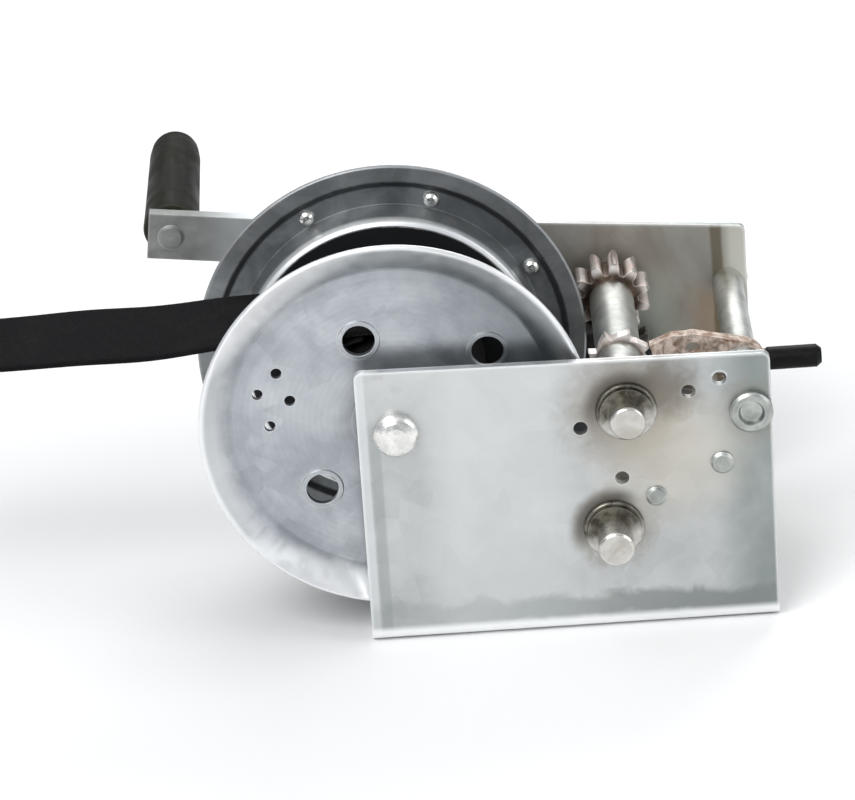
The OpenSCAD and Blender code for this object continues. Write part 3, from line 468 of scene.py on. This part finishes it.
def turned_steel():
    """Shaft with lathe rings along it and a little brown film."""
    s = Shade("turned_steel", (0.55, 0.54, 0.51), metallic=1.0)
    rings = s.noise(1900, 2, 0.5, 0, s.stretched(0.01, 1, 0.01))
    cloud = s.fit(s.noise(110, 4, 0.6, 0.5), 0.36, 0.68)
    colour = s.mix(cloud, (0.48, 0.455, 0.41), (0.64, 0.63, 0.60))
    colour = s.mix(s.fit(rings, 0.4, 0.62, 0, 0.22), colour, (0.40, 0.38, 0.35))
    # Near-white edges: partly wear, partly painted highlight.
    colour = s.mix(s.math("MULTIPLY", s.edges(0.0010), 0.6), colour, (0.90, 0.89, 0.86))
    s.set("Base Color", colour)
    s.set("Roughness", s.fit(rings, 0.3, 0.7, 0.22, 0.40))
    s.bump(rings, 0.00004, 0.6)
    return s.material


def satin_tube():
    """Plated spacer tubes and hubs."""
    s = zinc("satin_tube", (0.60, 0.61, 0.58), (0.42, 0.43, 0.405), 0.42, 0.14, 150, 90)
    rings = s.noise(1300, 2, 0.5, 0, s.stretched(0.02, 1, 0.02))
    s.bump(rings, 0.00003, 0.5)
    return s.material


def bright_zinc(name="bright_zinc", tint=(0.90, 0.90, 0.87)):
    """Bolt heads, nuts and rivets, the cleanest plating on the winch."""
    dull = tuple(0.80 * channel for channel in tint)
    return zinc(name, tint, dull, 0.26, 0.14, 240, 160).material


def dull_zinc():
    """The small heads by the rear edge, greyer than the others."""
    return zinc("dull_zinc", (0.44, 0.46, 0.44), (0.30, 0.315, 0.30), 0.38, 0.14, 240, 160).material


def oily_steel():
    """Bushings and rings, dark above the shafts and paler below them."""
    s = Shade("oily_steel", (0.14, 0.12, 0.10), metallic=1.0)
    cloud = s.fit(s.noise(210, 5, 0.65, 0.8), 0.32, 0.68)
    colour = s.mix(cloud, (0.062, 0.058, 0.046), (0.215, 0.205, 0.172))
    # Darker above the shafts, paler below them.
    paler_below = s.math("MAXIMUM", s.below(UPPER), s.below(LOWER))
    colour = s.mix(paler_below, colour, s.mix(cloud, (0.42, 0.405, 0.37), (0.60, 0.59, 0.56)))
    # Lighter edges: partly wear, partly painted highlight.
    colour = s.mix(s.math("MULTIPLY", s.edges(0.0008), 0.35), colour, (0.46, 0.43, 0.38))
    s.set("Base Color", colour)
    s.set("Roughness", s.fit(s.noise(300, 3, 0.6), 0.3, 0.7, 0.30, 0.55))
    s.bump(s.noise(380, 4, 0.6), 0.0001, 0.5)
    return s.material


def rusty_steel():
    """Pinkish film and brown spots over pitted steel, with a rubbed shine on the edges."""
    s = Shade("rusty_steel", (0.42, 0.27, 0.18), metallic=0.0)
    cloud = s.fit(s.noise(190, 6, 0.68, 1.2), 0.36, 0.62)
    flakes = s.fit(s.cells(900), 0.15, 0.75)
    colour = s.mix(cloud, (0.24, 0.185, 0.145), (0.70, 0.59, 0.52))
    spots = s.fit(s.noise(170, 4, 0.6), 0.54, 0.64)
    colour = s.mix(s.math("MULTIPLY", spots, 0.80), colour, (0.20, 0.095, 0.042))
    colour = s.mix(s.math("MULTIPLY", flakes, 0.18), colour, (0.26, 0.15, 0.09))
    bare = s.math("MULTIPLY", s.edges(0.0012), s.fit(s.noise(260, 3, 0.6), 0.35, 0.55))
    colour = s.mix(bare, colour, (0.78, 0.62, 0.53))
    s.set("Base Color", colour)
    s.set("Metallic", s.fit(bare, 0, 1, 0.15, 0.9))
    s.set("Roughness", s.fit(bare, 0, 1, 0.72, 0.36))
    s.bump(s.math("ADD", s.noise(520, 5, 0.65), s.math("MULTIPLY", flakes, 0.5)), 0.00016, 0.8)
    return s.material


def spring_steel():
    """Drawn wire, dull grey with fine lines."""
    s = Shade("spring_steel", (0.42, 0.42, 0.42), metallic=1.0)
    cloud = s.fit(s.noise(260, 4, 0.6), 0.35, 0.68)
    s.set("Base Color", s.mix(cloud, (0.28, 0.25, 0.21), (0.56, 0.56, 0.55)))
    s.set("Roughness", s.fit(s.noise(500, 3, 0.6), 0.3, 0.7, 0.26, 0.42))
    s.bump(s.noise(1400, 2, 0.5), 0.00003, 0.5)
    return s.material


def natural_nylon():
    """Milky bearing plastic, scuffed."""
    s = Shade("natural_nylon", (0.75, 0.72, 0.62), 0.0, 0.42, Subsurface_Weight=0.12, Subsurface_Scale=0.002)
    cloud = s.fit(s.noise(150, 4, 0.6), 0.3, 0.7)
    s.set("Base Color", s.mix(cloud, (0.58, 0.53, 0.42), (0.80, 0.78, 0.70)))
    s.set("Roughness", s.fit(s.noise(420, 3, 0.6), 0.3, 0.7, 0.34, 0.56))
    s.bump(s.noise(700, 3, 0.6), 0.00004, 0.5)
    return s.material


def grip_plastic():
    """Olive-grey moulded grip, chalky with age, with a fine moulded grain."""
    s = Shade("grip_plastic", (0.03, 0.03, 0.023), 0.0, 0.5, Specular_IOR_Level=0.06)
    cloud = s.fit(s.noise(60, 5, 0.6, 0.6), 0.3, 0.72)
    streak = s.fit(s.noise(190, 4, 0.65, 0.4, s.stretched(1, 0.12, 1)), 0.40, 0.70)
    colour = s.mix(cloud, (0.006, 0.006, 0.004), (0.015, 0.0145, 0.010))
    colour = s.mix(s.math("MULTIPLY", streak, 0.35), colour, (0.034, 0.032, 0.025))
    # Lighter edges: partly chalky wear, partly painted highlight.
    colour = s.mix(s.math("MULTIPLY", s.edges(0.0020), 0.6), colour, (0.12, 0.117, 0.095))
    s.set("Base Color", colour)
    s.set("Roughness", s.fit(cloud, 0, 1, 0.40, 0.62))
    s.bump(s.cells(1500), 0.00005, 0.6)
    s.bump(s.noise(260, 4, 0.6), 0.00008, 0.5)
    return s.material


def black_vinyl():
    """Dipped sleeve, with the soft lumps of the dip and dust."""
    s = Shade("black_vinyl", (0.010, 0.010, 0.011), 0.0, 0.36, Specular_IOR_Level=0.14)
    dust = s.fit(s.noise(230, 5, 0.7, 0.6), 0.48, 0.72)
    colour = s.mix(s.math("MULTIPLY", dust, 0.4), (0.003, 0.003, 0.0035), (0.022, 0.021, 0.020))
    s.set("Base Color", colour)
    s.set("Roughness", s.fit(dust, 0, 1, 0.42, 0.66))
    s.bump(s.noise(160, 3, 0.5), 0.0002, 0.5)
    s.bump(s.noise(1200, 2, 0.5), 0.00003, 0.4)
    return s.material


def webbing():
    """Woven strap: ribs along it, picks across it, dusty high spots and a soft sheen."""
    s = Shade("webbing", (0.012, 0.012, 0.013), 0.0, 0.8, Specular_IOR_Level=0.05, Sheen_Weight=0.01)
    along = s.node("ShaderNodeAttribute", attribute_name="along").outputs["Fac"]
    rib = s.math("SINE", s.math("MULTIPLY", s.y, math.tau / (2.0 * MM)))
    shift = s.math("MULTIPLY", s.math("SIGN", rib), 0.25 * math.tau)
    pick = s.math("SINE", s.math("MULTIPLY_ADD", along, math.tau / (1.7 * MM), shift))
    weave = s.math("MULTIPLY_ADD", s.math("ABSOLUTE", rib), 0.6, s.math("MULTIPLY", pick, 0.4))
    fuzz = s.noise(1500, 3, 0.7)
    height = s.math("MULTIPLY_ADD", fuzz, 0.25, weave)
    dust = s.fit(s.noise(46, 5, 0.65, 0.5), 0.40, 0.75)
    colour = s.mix(s.fit(height, -0.1, 1.0), (0.002, 0.002, 0.0025), (0.009, 0.009, 0.010))
    colour = s.mix(s.math("MULTIPLY", dust, 0.18), colour, (0.026, 0.025, 0.023))
    s.set("Base Color", colour)
    s.set("Roughness", s.fit(fuzz, 0.3, 0.7, 0.70, 0.92))
    s.bump(height, 0.00028, 0.9)
    return s.material


def thread_black():
    """Twisted sewing thread, a little greyer than the strap."""
    s = Shade("thread_black", (0.05, 0.05, 0.053), 0.0, 0.7, Sheen_Weight=0.3)
    twist = s.noise(2400, 2, 0.6, 0, s.stretched(0.5, 1, 1))
    s.set("Base Color", s.mix(s.fit(twist, 0.35, 0.65), (0.025, 0.025, 0.027), (0.090, 0.090, 0.094)))
    s.set("Roughness", s.fit(twist, 0.3, 0.7, 0.55, 0.82))
    s.bump(twist, 0.00008, 0.7)
    return s.material


def hook_zinc():
    """Forged hook: yellowish plating over a slightly lumpy surface."""
    s = zinc("hook_zinc", (0.64, 0.63, 0.57), (0.44, 0.42, 0.37), 0.32, 0.18, 130, 80)
    s.bump(s.noise(90, 3, 0.5), 0.0004, 0.5)
    return s.material


def arm_zinc():
    """Flat bar of the crank, dull grey, with lengthwise rolling marks, darker towards the grip end as painted
    shade.
    """
    s = zinc("arm_zinc", (0.27, 0.275, 0.265), (0.165, 0.17, 0.165), 0.48, 0.14, 90, 42, 0.9, 0.20)
    # Painted shade: darker towards the grip end, lighter towards the hub.
    toward_hub = s.fit(s.x, -0.152, -0.120)
    s.set("Base Color", s.mix(s.math("MULTIPLY", toward_hub, 0.80), s.colour, (0.66, 0.68, 0.69)))
    rolled = s.noise(700, 2, 0.5, 0, s.stretched(0.05, 1, 1))
    s.bump(rolled, 0.00004, 0.6)
    return s.material


# Mesh building --------------------------------------------------------------------------------


def add_mesh(name, points, faces, material, smooth=True):
    """A new piece whose vertices are in the row frame."""
    mesh = bpy.data.meshes.new(name)
    mesh.from_pydata([tuple(p) for p in points], [], faces)
    mesh.update()
    piece = bpy.data.objects.new(name, mesh)
    bpy.context.scene.collection.objects.link(piece)
    mesh.materials.append(material)
    mesh.polygons.foreach_set("use_smooth", [smooth] * len(faces))
    return piece


def smooth_line(points, steps):
    """Catmull-Rom curve through points."""
    ends = [2 * points[0] - points[1], *points, 2 * points[-1] - points[-2]]
    line = []
    for a, b, c, d in zip(ends, ends[1:], ends[2:], ends[3:]):
        for i in range(steps):
            t = i / steps
            line.append(
                0.5 * ((2 * b) + (c - a) * t + (2 * a - 5 * b + 4 * c - d) * t * t
                       + (3 * b - 3 * c + d - a) * t * t * t)
            )
    return line + [points[-1]]


def strap_section(width, thickness):
    """Outline of the webbing's section as (across, height), with beaded selvedges."""
    half = width / 2
    top = []
    count = 22
    for i in range(count + 1):
        across = -1 + 2 * i / count
        bead = max(0.0, (abs(across) - 0.90) / 0.10)
        height = 0.86 + 0.14 * math.sin(bead * math.pi * 0.75) - 0.62 * bead ** 4
        top.append((across * half, height * thickness / 2))
    return top + [(a, -h) for a, h in reversed(top)]


def strap_piece(name, line, ups, width, thickness, material, tilt=None):
    """Webbing swept along a line of points, with ups as its upper side."""
    section = strap_section(width, thickness)
    points, faces, along = [], [], []
    distance = 0.0
    for i, (at, up) in enumerate(zip(line, ups)):
        if i:
            distance += (at - line[i - 1]).length
        lean = tilt(distance) if tilt else 0.0
        side = (Vector((0, 1, 0)) + lean * up).normalized()
        for across, height in section:
            points.append(at + across * side + height * up)
            along.append(distance)
    n = len(section)
    for i in range(len(line) - 1):
        for k in range(n):
            a, b = i * n + k, i * n + (k + 1) % n
            faces.append((a, b, b + n, a + n))
    faces.append(tuple(range(n))[::-1])
    faces.append(tuple(range((len(line) - 1) * n, len(line) * n)))
    piece = add_mesh(name, points, faces, material)
    piece.data.polygons[-1].use_smooth = False
    piece.data.polygons[-2].use_smooth = False
    stored = piece.data.attributes.new("along", "FLOAT", "POINT")
    stored.data.foreach_set("value", along)
    return piece


def normals_of(line, turn):
    """Upper side of a line in the XZ plane. turn is 1 or -1 for which side is up."""
    ups = []
    for i in range(len(line)):
        t = line[min(i + 1, len(line) - 1)] - line[max(i - 1, 0)]
        ups.append(Vector((-t.z, 0, t.x)).normalized() * turn)
    return ups


def lathe(name, centre, profile, material, sides=64, wobble=None):
    """A ring turned round an axis across the winch. profile is a closed list of (radius, depth y)."""
    points, faces = [], []
    n = len(profile)
    for i in range(sides):
        a = math.tau * i / sides
        for radius, y in profile:
            r = radius * (wobble(a, radius) if wobble else 1.0)
            points.append(Vector((centre.x + r * math.cos(a), y, centre.z + r * math.sin(a))))
    for i in range(sides):
        for k in range(n):
            a, b = i * n + k, i * n + (k + 1) % n
            c, d = ((i + 1) % sides) * n + (k + 1) % n, ((i + 1) % sides) * n + k
            faces.append((a, b, c, d))
    return add_mesh(name, points, faces, material)


def bead_ring(name, centre, radius, y, size, material, seed):
    """A lumpy weld bead round an axis."""
    random.seed(seed)
    phases = [random.uniform(0, math.tau) for _ in range(3)]
    profile = [
        (radius + size * math.cos(math.tau * k / 10), y + size * math.sin(math.tau * k / 10))
        for k in range(10)
    ]

    def lumps(a, _):
        return 1 + 0.010 * math.sin(40 * a + phases[0]) + 0.008 * math.sin(23 * a + phases[1])

    return lathe(name, centre, profile, material, 160, lumps)


def screw_thread(name, centre, start, end, radius, pitch, material):
    """Rolled thread round a bolt's end, a helical ridge that fades out at both ends."""
    turns = (end - start) / pitch
    steps = int(turns * 28)
    points, faces = [], []
    for i in range(steps + 1):
        a = math.tau * 28 ** -1 * i
        y = start + (end - start) * i / steps
        fade = min(1.0, i / 20, (steps - i) / 20)
        out = radius + (0.05 + 0.40 * fade) * MM
        for r, dy in ((radius - 0.2 * MM, -0.42), (out, -0.06), (out, 0.06), (radius - 0.2 * MM, 0.42)):
            points.append(Vector((centre.x + r * math.cos(a), y + dy * pitch, centre.z + r * math.sin(a))))
    for i in range(steps):
        for k in range(3):
            a = i * 4 + k
            faces.append((a, a + 1, a + 5, a + 4))
    return add_mesh(name, points, faces, material)


def stitch(points, faces, at, along, up, length):
    """One sewn stitch: a short raised thread that dives into the webbing at both ends."""
    side = along.cross(up).normalized()
    base = len(points)
    steps, sides = 6, 6
    for i in range(steps + 1):
        t = i / steps
        rise = math.sin(math.pi * t)
        centre = at + along * length * (t - 0.5) + up * (0.42 * rise - 0.12) * MM
        r = (0.22 + 0.20 * rise) * MM
        for k in range(sides):
            a = math.tau * k / sides
            points.append(centre + r * (math.cos(a) * side + math.sin(a) * up))
    for i in range(steps):
        for k in range(sides):
            a, b = base + i * sides + k, base + i * sides + (k + 1) % sides
            faces.append((a, b, b + sides, a + sides))


def soften(node, width, segments=2):
    """Gives a CAD piece the small rounded edges of a pressed or machined part."""
    piece = NODES[node]
    weld = piece.modifiers.new("weld", "WELD")
    weld.merge_threshold = 0.000004
    planes = piece.modifiers.new("planes", "DECIMATE")
    planes.decimate_type = "DISSOLVE"
    planes.angle_limit = math.radians(0.4)
    bevel = piece.modifiers.new("bevel", "BEVEL")
    bevel.width = width * MM
    bevel.segments = segments
    bevel.limit_method = "ANGLE"
    bevel.angle_limit = math.radians(32)
    bevel.use_clamp_overlap = True
    bevel.harden_normals = False
    normals = piece.modifiers.new("normals", "WEIGHTED_NORMAL")
    normals.keep_sharp = True


# Pieces of the strap --------------------------------------------------------------------------


def strap_outside(material):
    """The outermost turn on the roll and the free run to the sewn end."""
    line = []
    turn_back = math.radians(345)
    tucked_in = 1.1 * MM
    round_steps, run_steps = 115, 86
    for i in range(round_steps + 1):
        share = i / round_steps
        a = math.pi / 2 + FALL - turn_back * (1 - share)
        r = WRAP_R - tucked_in * (1 - min(1.0, share / 0.07)) ** 2
        line.append(Vector((DRUM.x + r * math.cos(a), STRAP_MIDDLE, DRUM.z + r * math.sin(a))))
    reach = STRAP_FREE - STRAP_SEWN
    for i in range(1, run_steps + 1):
        share = i / run_steps
        s = reach * share
        ease = math.sin(math.pi * share)
        wave = 0.5 * math.sin(s / 0.021) + 0.35 * math.sin(s / 0.0093 + 1.2)
        last = max(0.0, (s - reach + 16 * MM) / (16 * MM))
        lift = (wave * ease - 0.9 * ease) * MM + 0.5 * STRAP_THICK * (3 - 2 * last) * last * last
        line.append(RUN_START + s * PULL + lift * PULL_UP)
    ups = normals_of(line, 1)
    run_from = WRAP_R * turn_back

    def lean(distance):
        s = max(0.0, distance - run_from) / reach
        return 0.018 * math.sin(math.pi * min(1.0, s)) * math.sin(s * 7.0)

    piece = strap_piece("strap_free_run", line, ups, STRAP_WIDTH, STRAP_THICK, material, lean)
    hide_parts("strap_run")
    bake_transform(piece)
    return piece


def strap_wound(material):
    """The turns inside the roll, one spiral of webbing."""
    hub_low, hub_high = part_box("drum_hub")
    first = (hub_high.x - hub_low.x) / 2 + STRAP_THICK * 0.55
    last = WRAP_R - STRAP_THICK * 1.55
    turns = (last - first) / (STRAP_THICK * 1.01)
    steps = int(turns * 60)
    line = []
    for i in range(steps + 1):
        share = i / steps
        a = math.pi / 2 + FALL - math.tau * turns * (1 - share) - math.radians(25)
        r = first + (last - first) * share
        r += 0.10 * MM * math.sin(9 * a) * share
        line.append(Vector((DRUM.x + r * math.cos(a), STRAP_MIDDLE, DRUM.z + r * math.sin(a))))
    piece = strap_piece("strap_turns", line, normals_of(line, -1), STRAP_WIDTH, STRAP_THICK, material)
    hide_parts("strap_roll")
    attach(piece, "drum")
    return piece


def strap_end(material):
    """The sewn eye of the strap, round the bar of the hook."""
    half = STRAP_THICK / 2 / MM + 0.05
    bar, r = 9.25, 7.3
    top = [(34, half), (26, half), (21, half + 0.15), (16.5, half + 1.6)]
    round_bar = [
        (bar + r * math.cos(math.radians(a)), r * math.sin(math.radians(a)))
        for a in (48, 72, 98, 124, 152, 180, 208, 236, 262, 288, 312)
    ]
    bottom = [(16.5, -half - 1.6), (21, -half - 0.15), (26, -half), (32.5, -half), (34.5, -half)]
    line = smooth_line([at_hook(x, 0, z) for x, z in top + round_bar + bottom], 5)
    width = STRAP_WIDTH - 0.4 * MM
    piece = strap_piece("strap_sewn_end", line, normals_of(line, 1), width, STRAP_THICK, material)
    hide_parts("strap_loop")
    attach(piece, "hook")
    return piece


def strap_stitches(material):
    """Rows across the sewn part of the strap, with a cross between them."""
    points, faces = [], []
    first, last, side, pitch = 19.5, 33.0, 21.5, 3.1
    rows = [((x, -side), (x, side)) for x in (first, first + 2, last - 2, last)]
    rows += [((first, y), (last, y)) for y in (-side, side)]
    rows += [((first, y), (last, -y)) for y in (-side, side)]
    for up in (1, -1):
        for (x0, y0), (x1, y1) in rows:
            length = math.hypot(x1 - x0, y1 - y0)
            count = max(3, round(length / pitch))
            for i in range(count):
                t = (i + 0.5) / count
                x = x0 + (x1 - x0) * t
                sunk = 2.42 + (0.35 if x < 21 else 0.0)
                at = at_hook(x, y0 + (y1 - y0) * t, up * sunk)
                along = (at_hook(x1, y1, 0) - at_hook(x0, y0, 0)).normalized()
                stitch(points, faces, at, along, up * PULL_UP, 2.4 * MM)
    piece = add_mesh("strap_stitches", points, faces, material)
    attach(piece, "hook")
    return piece


# Small metal pieces ---------------------------------------------------------------------------


def threads(material):
    """Threads on the bolt ends that stand out of their nuts."""
    for bolt, nut, body, pitch in (
        ("drum_axle_bolt", "axle_nut", "frame", 1.5 * MM),
        ("strap_anchor_bolt", "strap_anchor_nut", "drum", 1.25 * MM),
    ):
        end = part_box(bolt)[1].y
        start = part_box(nut)[1].y
        if end - start > 2.2 * MM:
            radius = bolt_radius(bolt, nut)
            start, end = start - 0.4 * MM, end - 0.9 * MM
            thread = screw_thread(bolt + "_thread", middle(nut), start, end, radius, pitch, material)
            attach(thread, body)


def bolt_radius(bolt, nut):
    """Radius of a bolt's end, read from the points of its mesh that stand out of its nut."""
    centre, limit = middle(nut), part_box(nut)[1].y
    ends = [
        math.hypot(v.co.x - centre.x, v.co.z - centre.z)
        for v in NODES[bolt].data.vertices
        if v.co.y > limit
    ]
    return max(ends)


def lock_rings(material):
    """Nylon rings in the ends of the locknuts."""
    for nut, body in (("axle_nut", "frame"), ("crank_nut", "crank"), ("strap_anchor_nut", "drum")):
        centre = middle(nut)
        low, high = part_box(nut)
        flat = min(high.x - low.x, high.z - low.z) / 2
        y = high.y
        inner, outer = flat * 0.62, flat * 0.80
        profile = [
            (inner, y - 0.8 * MM), (inner + 0.2 * MM, y + 0.30 * MM), ((inner + outer) / 2, y + 0.45 * MM),
            (outer - 0.2 * MM, y + 0.30 * MM), (outer, y - 0.8 * MM),
        ]
        ring = lathe(nut + "_ring", centre, profile, material, 48)
        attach(ring, body)


def weld_beads(material):
    """A bead that joins the drum's hub tube to the outer flange."""
    hub_low, hub_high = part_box("drum_hub")
    radius = (hub_high.x - hub_low.x) / 2
    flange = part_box("outer_flange")[1].y
    bead = bead_ring("hub_weld_near", DRUM, radius + 0.4 * MM, flange + 0.4 * MM, 1.3 * MM, material, 3)
    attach(bead, "drum")


# Stage ----------------------------------------------------------------------------------------


def floor():
    """A plain pale floor, faintly uneven in tone."""
    mesh = bpy.data.meshes.new("floor")
    size, cells = 5.0, 24
    points, faces = [], []
    for i in range(cells + 1):
        for k in range(cells + 1):
            x, y = (2 * i / cells - 1) * size, (2 * k / cells - 1) * size
            points.append((x, y, -0.0004))
    for i in range(cells):
        for k in range(cells):
            a = i * (cells + 1) + k
            faces.append((a, a + cells + 1, a + cells + 2, a + 1))
    mesh.from_pydata(points, [], faces)
    piece = bpy.data.objects.new("floor", mesh)
    bpy.context.scene.collection.objects.link(piece)
    s = Shade("floor_pale", (0.86, 0.86, 0.86), 0.0, 0.7)
    s.set("Base Color", s.mix(s.fit(s.noise(3, 3, 0.5), 0.3, 0.7), (0.84, 0.84, 0.84), (0.88, 0.88, 0.88)))
    mesh.materials.append(s.material)


def soft_light(name, place, target, size, power):
    lamp = bpy.data.lights.new(name, "AREA")
    lamp.shape = "RECTANGLE"
    lamp.size, lamp.size_y = size
    lamp.energy = power
    piece = bpy.data.objects.new(name, lamp)
    bpy.context.scene.collection.objects.link(piece)
    piece.location = place
    piece.rotation_euler = (Vector(target) - Vector(place)).to_track_quat("-Z", "Y").to_euler()


def studio():
    """Soft lamps and a pale surround that metal can reflect."""
    centre = (CAD_LOW + CAD_HIGH) / 2
    soft_light("key", (-0.9, -1.5, 1.7), centre, (1.3, 1.3), 38)
    soft_light("fill", (1.8, -0.9, 1.0), centre, (1.0, 1.4), 10)
    soft_light("back", (0.3, 1.7, 1.6), centre, (1.8, 0.9), 22)
    world = bpy.data.worlds.new("studio")
    world.use_nodes = True
    bpy.context.scene.world = world
    tree = world.node_tree
    back = tree.nodes["Background"]
    place = tree.nodes.new("ShaderNodeTexCoord")
    split = tree.nodes.new("ShaderNodeSeparateXYZ")
    ramp = tree.nodes.new("ShaderNodeValToRGB")
    tree.links.new(place.outputs["Generated"], split.inputs[0])
    tree.links.new(split.outputs["Z"], ramp.inputs[0])
    tree.links.new(ramp.outputs[0], back.inputs["Color"])
    stops = ramp.color_ramp.elements
    stops[0].position, stops[0].color = 0.0, (0.78, 0.80, 0.83, 1)
    stops[1].position, stops[1].color = 1.0, (1.0, 1.0, 1.0, 1)
    grey = ramp.color_ramp.elements.new(0.35)
    grey.color = (0.52, 0.55, 0.59, 1)
    back.inputs["Strength"].default_value = 0.75
    bpy.context.scene.view_settings.view_transform = "Standard"


def camera():
    """Looks from the plain side, a little to the front and from above, with a slight roll."""
    azimuth, elevation, roll = math.radians(0.4), math.radians(25), math.radians(4)
    back = Vector((
        math.sin(azimuth) * math.cos(elevation), -math.cos(azimuth) * math.cos(elevation), math.sin(elevation)
    ))
    distance = 2.05
    target = Vector((DRUM.x + 0.0132, PLATE_FACE, DRUM.z + 0.0135))
    level = (-back).cross(Vector((0, 0, 1))).normalized()
    up = level.cross(-back).normalized()
    right = math.cos(roll) * level - math.sin(roll) * up
    up = math.cos(roll) * up + math.sin(roll) * level
    data = bpy.data.cameras.new("camera")
    data.sensor_width = 36
    data.lens = 222.6
    data.clip_start, data.clip_end = 0.05, 30
    piece = bpy.data.objects.new("camera", data)
    bpy.context.scene.collection.objects.link(piece)
    turn = Matrix((right, up, back)).transposed().to_4x4()
    piece.matrix_world = Matrix.Translation(target + distance * back) @ turn
    bpy.context.scene.camera = piece


# Putting it together --------------------------------------------------------------------------


def paint(material, *nodes):
    for node in nodes:
        slots = NODES[node].data.materials
        slots.clear()
        slots.append(material)


def finishes():
    """Gives every CAD piece that stays its material."""
    bright = bright_zinc()
    tube = satin_tube()
    oily = oily_steel()
    shaft = turned_steel()
    spring = spring_steel()
    paint(frame_zinc(), "frame")
    paint(flange_zinc(), "outer_flange", "drum_bushings")
    paint(inner_flange_zinc(), "inner_flange")
    paint(gear_black(), "drum_gear")
    paint(small_gear_black(), "low_speed_gear")
    paint(pinion_steel(), "crank_pinion")
    paint(pinion_steel("ratchet_steel", UPPER, 0.0095), "ratchet_wheel")
    paint(pinion_steel("drum_pinion_steel", LOWER, 0.0175), "drum_pinion")
    paint(bright, "drum_axle_bolt", "axle_washer", "axle_nut")
    paint(dull_zinc(), "pawl_pin", "spring_post", "plate_rivet")
    paint(bright, "gear_rivets", "strap_anchor_bolt", "strap_anchor_nut", "crank_washer", "crank_nut")
    paint(bright, "latch_rivet")
    paint(tube, "axle_spacers", "pawl_spacers", "drum_hub", "upper_spacers", "crank_hub")
    paint(oily, "shaft_bushings", "lower_clips", "upper_clip", "lower_spacers")
    paint(shaft, "lower_shaft", "upper_shaft")
    paint(spring, "pawl_spring", "latch_spring")
    paint(arm_zinc(), "crank_arm", "grip_spindle")
    paint(grip_plastic(), "grip")
    paint(rusty_steel(), "pawl")
    paint(black_vinyl(), "pawl_sleeve")
    paint(hook_zinc(), "hook", "latch")
    return bright, tube


def round_edges():
    """Rounded edges on the pieces whose edges catch the light."""
    for width, segments, nodes in (
        (0.20, 2, ("pawl_pin",)),
        (0.25, 2, ("low_speed_gear", "crank_pinion", "drum_pinion", "axle_nut", "crank_nut")),
        (0.25, 2, ("strap_anchor_nut", "axle_washer", "crank_washer")),
        (0.25, 2, ("pawl_spacers", "lower_spacers", "upper_spacers")),
        (0.30, 2, ("drum_gear", "ratchet_wheel", "strap_anchor_bolt")),
        (0.30, 2, ("lower_shaft", "upper_shaft", "shaft_bushings")),
        (0.35, 2, ("outer_flange", "inner_flange", "latch")),
        (0.40, 2, ("crank_hub",)),
        (0.45, 3, ("frame",)),
        (0.50, 3, ("pawl",)),
        (0.60, 3, ("crank_arm",)),
        (0.90, 3, ("pawl_sleeve",)),
        (1.60, 4, ("hook",)),
    ):
        for node in nodes:
            soften(node, width, segments)


def build():
    camera()
    bright, tube = finishes()
    round_edges()
    cloth = webbing()
    strap_outside(cloth)
    strap_wound(cloth)
    strap_end(cloth)
    strap_stitches(thread_black())
    threads(bright)
    lock_rings(natural_nylon())
    weld_beads(tube)
    floor()
    studio()


build()
